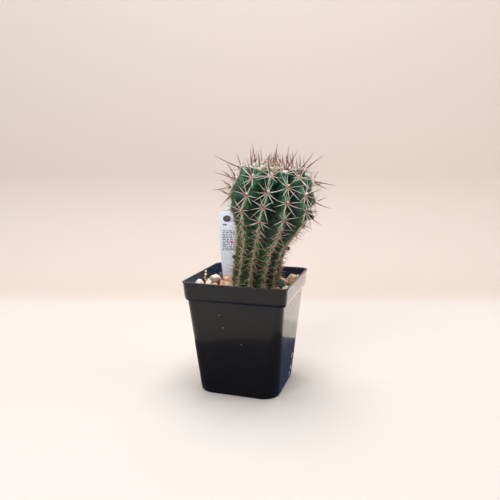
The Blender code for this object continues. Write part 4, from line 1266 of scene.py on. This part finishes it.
# %% Make the crown's nest
NEST_DISTANCES = (94.5, 97.0, 99.5, 101.0)
NEST_SPINES = 5                  # at each place of the nest
NEST_HAIRS = 60
WOOL_RADIUS = 0.08
WOOL_BOW = 0.3
rng = default_rng(88)
nest, wool_roots, wool_tips = [], [], []
for distance in NEST_DISTANCES:
    ribs = np.arange(RIBS) + 0.5 * (round(distance) % 2)
    places, normals, _, _ = skin_at(np.full(RIBS, distance), ribs)
    for place, normal in zip(places, normals):
        for _ in range(NEST_SPINES):
            direction = unit(normal + 0.55 * rng.normal(size=3) * [1.0, 1.0, 0.4])
            root = place + 0.6 * rng.normal(size=3) * [1.0, 1.0, 0.2]
            nest.append((root, root + direction * rng.uniform(4.0, 9.0), rng.uniform(0.20, 0.30), 1.0))
        for _ in range(NEST_HAIRS):
            wool_roots.append(place + 1.0 * rng.normal(size=3) * [1.0, 1.0, 0.15])
            direction = unit(normal * 1.2 + rng.normal(size=3) * [1.0, 1.0, 0.5])
            wool_tips.append(wool_roots[-1] + direction * rng.uniform(1.2, 2.6))
add_spines("young_spines", nest, YOUNG_HORN, default_rng(3))
bows = rng.normal(size=(len(wool_roots), 3)) * WOOL_BOW
ages = rng.uniform(0.80, 0.94, len(wool_roots))
add_hairs("crown_wool", wool_roots, wool_tips, ages, WOOL_RADIUS, bows, 5)

# %% [markdown]
# ## The offset and the sleeping buds
#
# A plant of this age starts offsets: a round, ribbed pup of a few millimetres at its foot, and dark bumps on
# the ribs where more may come. The pup is a small ball with its own ribs and spines like hairs. A bump is a
# plain dark bead, half sunk in the skin.

# %% Make the pup
OFFSET_TURN = 125.0
OFFSET_HEIGHT = 2.7
OFFSET_RADIUS = 3.6
OFFSET_RIBS = 8
OFFSET_COLUMNS = 10 * OFFSET_RIBS
OFFSET_FURROW = 0.13
OFFSET_AREOLES = (18.0, 42.0, 68.0, 95.0)    # degrees from its top


def skin_spot(distance, degrees):
    """The place and the outward direction of one spot of the skin."""
    places, normals, _, _ = skin_at([distance], [degrees / 360.0 * RIBS])
    return places[0], normals[0]


place, normal = skin_spot(OFFSET_HEIGHT, OFFSET_TURN)
PUP = np.array([place[0], place[1], GROUND + OFFSET_HEIGHT]) + normal * OFFSET_RADIUS * 0.45
round_pup = np.array(circle(0.0, 0.0, 1.0, OFFSET_COLUMNS))
furrow = 0.5 - 0.5 * np.cos(np.arange(OFFSET_COLUMNS) / OFFSET_COLUMNS * 2 * math.pi * OFFSET_RIBS)
rings = []
for polar in np.radians(np.linspace(176.0, 3.0, 44)):
    reach = OFFSET_RADIUS * (1.0 - OFFSET_FURROW * furrow * math.sin(polar))[:, None]
    rings.append(PUP + np.column_stack([reach * math.sin(polar) * round_pup, reach * math.cos(polar)]))
shade = np.tile(0.06 + 0.3 * furrow, len(rings))
add_tube("pup", rings, CACTUS_SKIN, "cactus_skin", crease=SMOOTH, furrow=shade, age=0.66, swell=0.0)
rng = default_rng(9)
fine_spines = []
for rib in range(OFFSET_RIBS):
    for polar in np.radians(OFFSET_AREOLES):
        turn = 2 * math.pi * (rib + 0.5 * (polar > 0.9)) / OFFSET_RIBS
        flat = math.sin(polar)
        away = np.array([flat * math.cos(turn), flat * math.sin(turn), math.cos(polar)])
        root = PUP + away * OFFSET_RADIUS * 0.95
        for _ in range(5):
            tip = root + unit(away + 0.8 * rng.normal(size=3)) * rng.uniform(0.8, 1.6)
            fine_spines.append((root, tip, 0.07, 0.8))
add_spines("pup_spines", fine_spines, RADIAL_HORN, rng)

# %% Make the buds
BUDS = ((131.0, 31.5, 1.4), (131.0, 57.0, 1.6), (-32.7, 20.0, 1.3))    # turn, crest distance and radius
beads = []
for turn, distance, radius in BUDS:
    place, normal = skin_spot(distance, turn)
    beads.append((place + normal * radius * 0.3 + radius * BALLS[3][0], BALLS[3][1], 0.4))
add_heap("buds", beads, CACTUS_SKIN, "cactus_skin", "age", crease=SMOOTH, furrow=0.8, swell=0.0)

# %% [markdown]
# ## The plant label
#
# The label is a stake punched from white polystyrene sheet and pushed into the soil: wide at the top, narrow
# at the foot, with round shoulders, a narrow head and a hole. Its outline is extruded to the sheet's
# thickness, the hole is cut, and a fine bevel takes the sharpness off, as a punch does. It carries rows of
# plain grey bars, an oval stamp and a dot of red ink, which spell nothing and only break up the white.

# %% Sizes and finish of the label
LABEL_THICKNESS = 0.6
LABEL_HALF_TOP = 8.1
LABEL_HALF_GROUND = 4.6
LABEL_STEP = 36.0
LABEL_STEP_REACH = 0.7
LABEL_SHOULDER = 44.0
LABEL_TIP = 55.5
LABEL_DEPTH = 24.0
LABEL_HOLE_RADIUS = 1.1
LABEL_HOLE_DROP = 2.9
LABEL_SOILED = (78.0, 66.0)      # heights between which the soil has marked it
half_head = LABEL_HALF_TOP - LABEL_STEP_REACH
LABEL_HEAD = (       # half width and height over the ground: round shoulders, then a tab with the hole
    (half_head, LABEL_SHOULDER), (6.9, 45.9), (5.9, 47.7), (4.3, 49.0), (2.9, 50.0), (2.35, 51.4),
    (2.4, 53.0), (1.9, 54.6), (0.8, LABEL_TIP),
)


def label_prism(outline, front, back):
    """A closed prism on the label from a counter-clockwise outline, seen from the front."""
    points, faces = prism(outline, back, front)
    return [*LABEL_FOOT, GROUND] + points @ np.array([LABEL_ACROSS, (0.0, 0.0, 1.0), LABEL_BACK]), faces


def polystyrene(node, place):
    cloud = node("TexNoise", place, per_mm(9.0), 4.0)
    low = node("MapRange", node("SeparateXYZ", place, output="Z"), *np.array(LABEL_SOILED) * MM)
    clean = node("Mix", cloud, "#dde8ff", "#f2f7ff")
    dirty = node("Math", low, cloud, operation="MULTIPLY")
    colour = node("Mix", dirty, clean, "#a89480")
    grain = node("TexNoise", place, per_mm(0.6), 2.0)
    return dict(Base_Color=colour, Normal=node("Bump", 0.2, 0.02 * MM, Height=grain))


POLYSTYRENE = finish("white_polystyrene", polystyrene, Roughness=0.4, IOR=1.59, Subsurface_Weight=0.1,
                     Subsurface_Scale=0.001)

# %% Make the label
side_points = [(1.2, -LABEL_DEPTH), (LABEL_HALF_GROUND * 0.92, -LABEL_DEPTH + 7.0), (LABEL_HALF_GROUND, 0.0)]
side_points += [(LABEL_HALF_TOP, LABEL_STEP), (half_head, LABEL_STEP + 1.0), (half_head, LABEL_SHOULDER)]
side_points += smooth_points(LABEL_HEAD, 4)[1:].tolist()
outline = side_points + [(-x, z) for x, z in reversed(side_points)]
points, faces = label_prism(outline, -LABEL_THICKNESS / 2, LABEL_THICKNESS / 2)
label = add_piece("label_tag", points, faces, POLYSTYRENE, "label_plastic", ["plant_label"])
hole = circle(0.0, LABEL_TIP - LABEL_HOLE_DROP, LABEL_HOLE_RADIUS)
cut(label, [add_mesh("punch", *label_prism(hole, -2.0, 2.0))])
bevel = label.modifiers.new("bevel", "BEVEL")
bevel.width = 0.12 * MM
bevel.segments = 2
bevel.limit_method = "ANGLE"
apply_modifiers(label)
label.data.set_sharp_from_angle(angle=math.radians(35.0))
print("label stands", LABEL_TIP, "mm out of the ground")

# %% Print plain bars on it
INK_DEPTH = 0.03
STAMP_PLACE = (-1.6, 43.4)
STAMP_RADIUS = 2.9
STAMP_FLATTENING = 0.82
BAR_HEIGHT = 0.75
BAR_STEP = 1.25


def add_print(name, outlines, code, depth=INK_DEPTH, sunk=0.1):
    """A thin layer of worn ink on the front of the label."""
    def build(node, place):
        worn = node("MapRange", node("TexNoise", place, per_mm(0.5), 3.0), 0.45, 0.75, To_Max=0.6)
        return dict(Base_Color=node("Mix", worn, code, "#b9b7c0"))
    front = -LABEL_THICKNESS / 2
    layers = [(*label_prism(outline, front - depth, front + sunk), 0.0) for outline in outlines]
    points, faces, _ = joined(layers)
    add_piece(name, points, faces, finish("ink_" + code[1:], build, Roughness=0.5), "label_plastic")


rng = default_rng(12)
bars = []
for height in np.arange(20.6, 35.6, BAR_STEP):
    edge = -4.9
    while edge < 5.0:
        width = rng.uniform(0.7, 2.6)
        bars.append((edge, min(edge + width, 5.2), height, height + BAR_HEIGHT))
        edge += width + rng.uniform(0.4, 0.9)
bars += [(-4.6, -1.8, 38.5, 39.7), (-6.6, -6.1, 36.1, 36.6)]
boxes = [[(left, low), (right, low), (right, high), (left, high)] for left, right, low, high in bars]
oval = circle(0.0, 0.0, STAMP_RADIUS)
stamp = [(STAMP_PLACE[0] + x, STAMP_PLACE[1] + STAMP_FLATTENING * z) for x, z in oval]
add_print("label_bars", boxes, "#6a6a7c")
add_print("label_stamp", [stamp], "#2c2022")
add_print("label_dot", [circle(2.0, 26.2, 0.9)], "#c8323a", depth=2 * INK_DEPTH, sunk=0.0)

# %% [markdown]
# ## Studio
#
# The setting is a roll of pale paper that runs over the table and up behind the plant, so floor and wall
# meet in a soft curve. Large soft lights stand over the plant, beside the camera and at both sides, and
# the room itself stays dim, which lets the black pot stay black. The paper right round the pot is kept out
# of reflections, as a photographer does with a dark card, and the rest of it shines in the pot's walls. A
# weak light that lies on the floor, unseen by the camera, brightens the wall that faces away from the rest.

# %% Paper floor and wall
PAPER_WALL_START = 290.0         # where the paper starts to rise, behind the pot
PAPER_SHADE_FROM = 185.0                # from here back the paper is painted darker and warmer: painted shade
PAPER_SHADE_FADE = 60.0
PAPER_CURVE = 130.0
PAPER_SIDE = 1600.0
PAPER_HEIGHT = 1500.0
CARD_RADIUS = 103.0
CARD_CENTRE = (4.0, -7.0)
CARD_SIDES = 96


def paper(node, place):
    back = node("SeparateXYZ", place, output="Y")
    # Painted shade: from 185 mm back, the paper of floor and wall is painted darker and warmer.
    fade = PAPER_SHADE_FROM * MM, (PAPER_SHADE_FROM + PAPER_SHADE_FADE) * MM
    paper_shade = node("MapRange", back, *fade, interpolation_type="SMOOTHSTEP")
    colour = node("Mix", paper_shade, "#d7d2cd", "#d2c7be")
    fibre = node("TexNoise", place, per_mm(1.5), 5.0)
    return dict(Base_Color=colour, Normal=node("Bump", 0.1, 0.1 * MM, Height=fibre))


PAPER = finish("seamless_paper", paper, Roughness=0.9, Specular_IOR_Level=0.1)


def add_stage(name, points, faces):
    item = add_mesh(name, points, faces)
    dress(item, PAPER)
    item.rotation_euler[2] = math.radians(CAMERA_TURN)
    return item


ring = np.array(circle(0.0, 0.0, 1.0, CARD_SIDES))
card_edge = [(x, y, 0.0) for x, y in ring * CARD_RADIUS + CARD_CENTRE]
add_stage("paper_near", card_edge, [list(range(CARD_SIDES))]).visible_glossy = False
square = ring / np.abs(ring).max(axis=1, keepdims=True)
far_edge = square * np.where(square > 0, [PAPER_SIDE, PAPER_WALL_START], PAPER_SIDE)
add_stage("paper_floor", card_edge + [(x, y, 0.0) for x, y in far_edge], grid_faces(2, CARD_SIDES))
bend = np.linspace(0.0, math.pi / 2, 25)
wall_profile = [(PAPER_CURVE * math.sin(turn), PAPER_CURVE * (1.0 - math.cos(turn))) for turn in bend]
wall_profile.append((PAPER_CURVE, PAPER_HEIGHT))
wall_points = [(x, PAPER_WALL_START + y, z) for y, z in wall_profile for x in (-PAPER_SIDE, PAPER_SIDE)]
add_stage("paper_wall", wall_points, [[i, i + 1, i + 3, i + 2] for i in range(0, len(wall_points) - 2, 2)])
print("paper rises from", PAPER_WALL_START, "mm behind the pot")


# %% Lights and the dim room
def softbox(name, place, aim, size, power, code):
    """A square soft light, with its place and aim in metres."""
    data = bpy.data.lights.new(name, "AREA")
    data.size = size
    data.energy = power
    data.color = linear(code)[:3]
    light = add_object(name, data)
    light.location = place
    light.rotation_euler = (Vector(aim) - Vector(place)).to_track_quat("-Z", "Y").to_euler()
    return light


softbox("light_over", (0.0, 0.05, 0.95), (0.0, 0.0, 0.05), 0.6, 7.7, "#ffffff")
softbox("light_front", (-0.22, -0.90, 0.55), (0.0, 0.0, 0.10), 0.6, 6.0, "#fbfcff")
softbox("light_left", (-0.75, 0.05, 0.45), (0.0, 0.0, 0.08), 0.5, 1.2, "#fffaf4")
softbox("light_right", (0.80, 0.15, 0.40), (0.0, 0.0, 0.08), 0.5, 2.4, "#fffaf4")
floor_light = softbox("light_card", (0.14, 0.29, 0.004), (0.14, 0.29, 1.0), 0.34, 0.16, "#f8e6da")
floor_light.visible_camera = False

room = bpy.data.worlds.new("room")
bpy.context.scene.world = room
room.use_nodes = True
node = partial(add_node, room.node_tree)
level = node("SeparateXYZ", node("TexCoord", output="Generated"), output="Z")
glow = node("Mix", node("MapRange", level, -0.02, 0.25), "#4c5268", "#787072")
shown = node("Mix", node("LightPath", output="Is Camera Ray"), glow, "#e6dacd")
room.node_tree.links.new(shown, room.node_tree.nodes["Background"].inputs["Color"])
bpy.context.scene.view_settings.view_transform = "Standard"
print("lights:", len(bpy.data.lights))
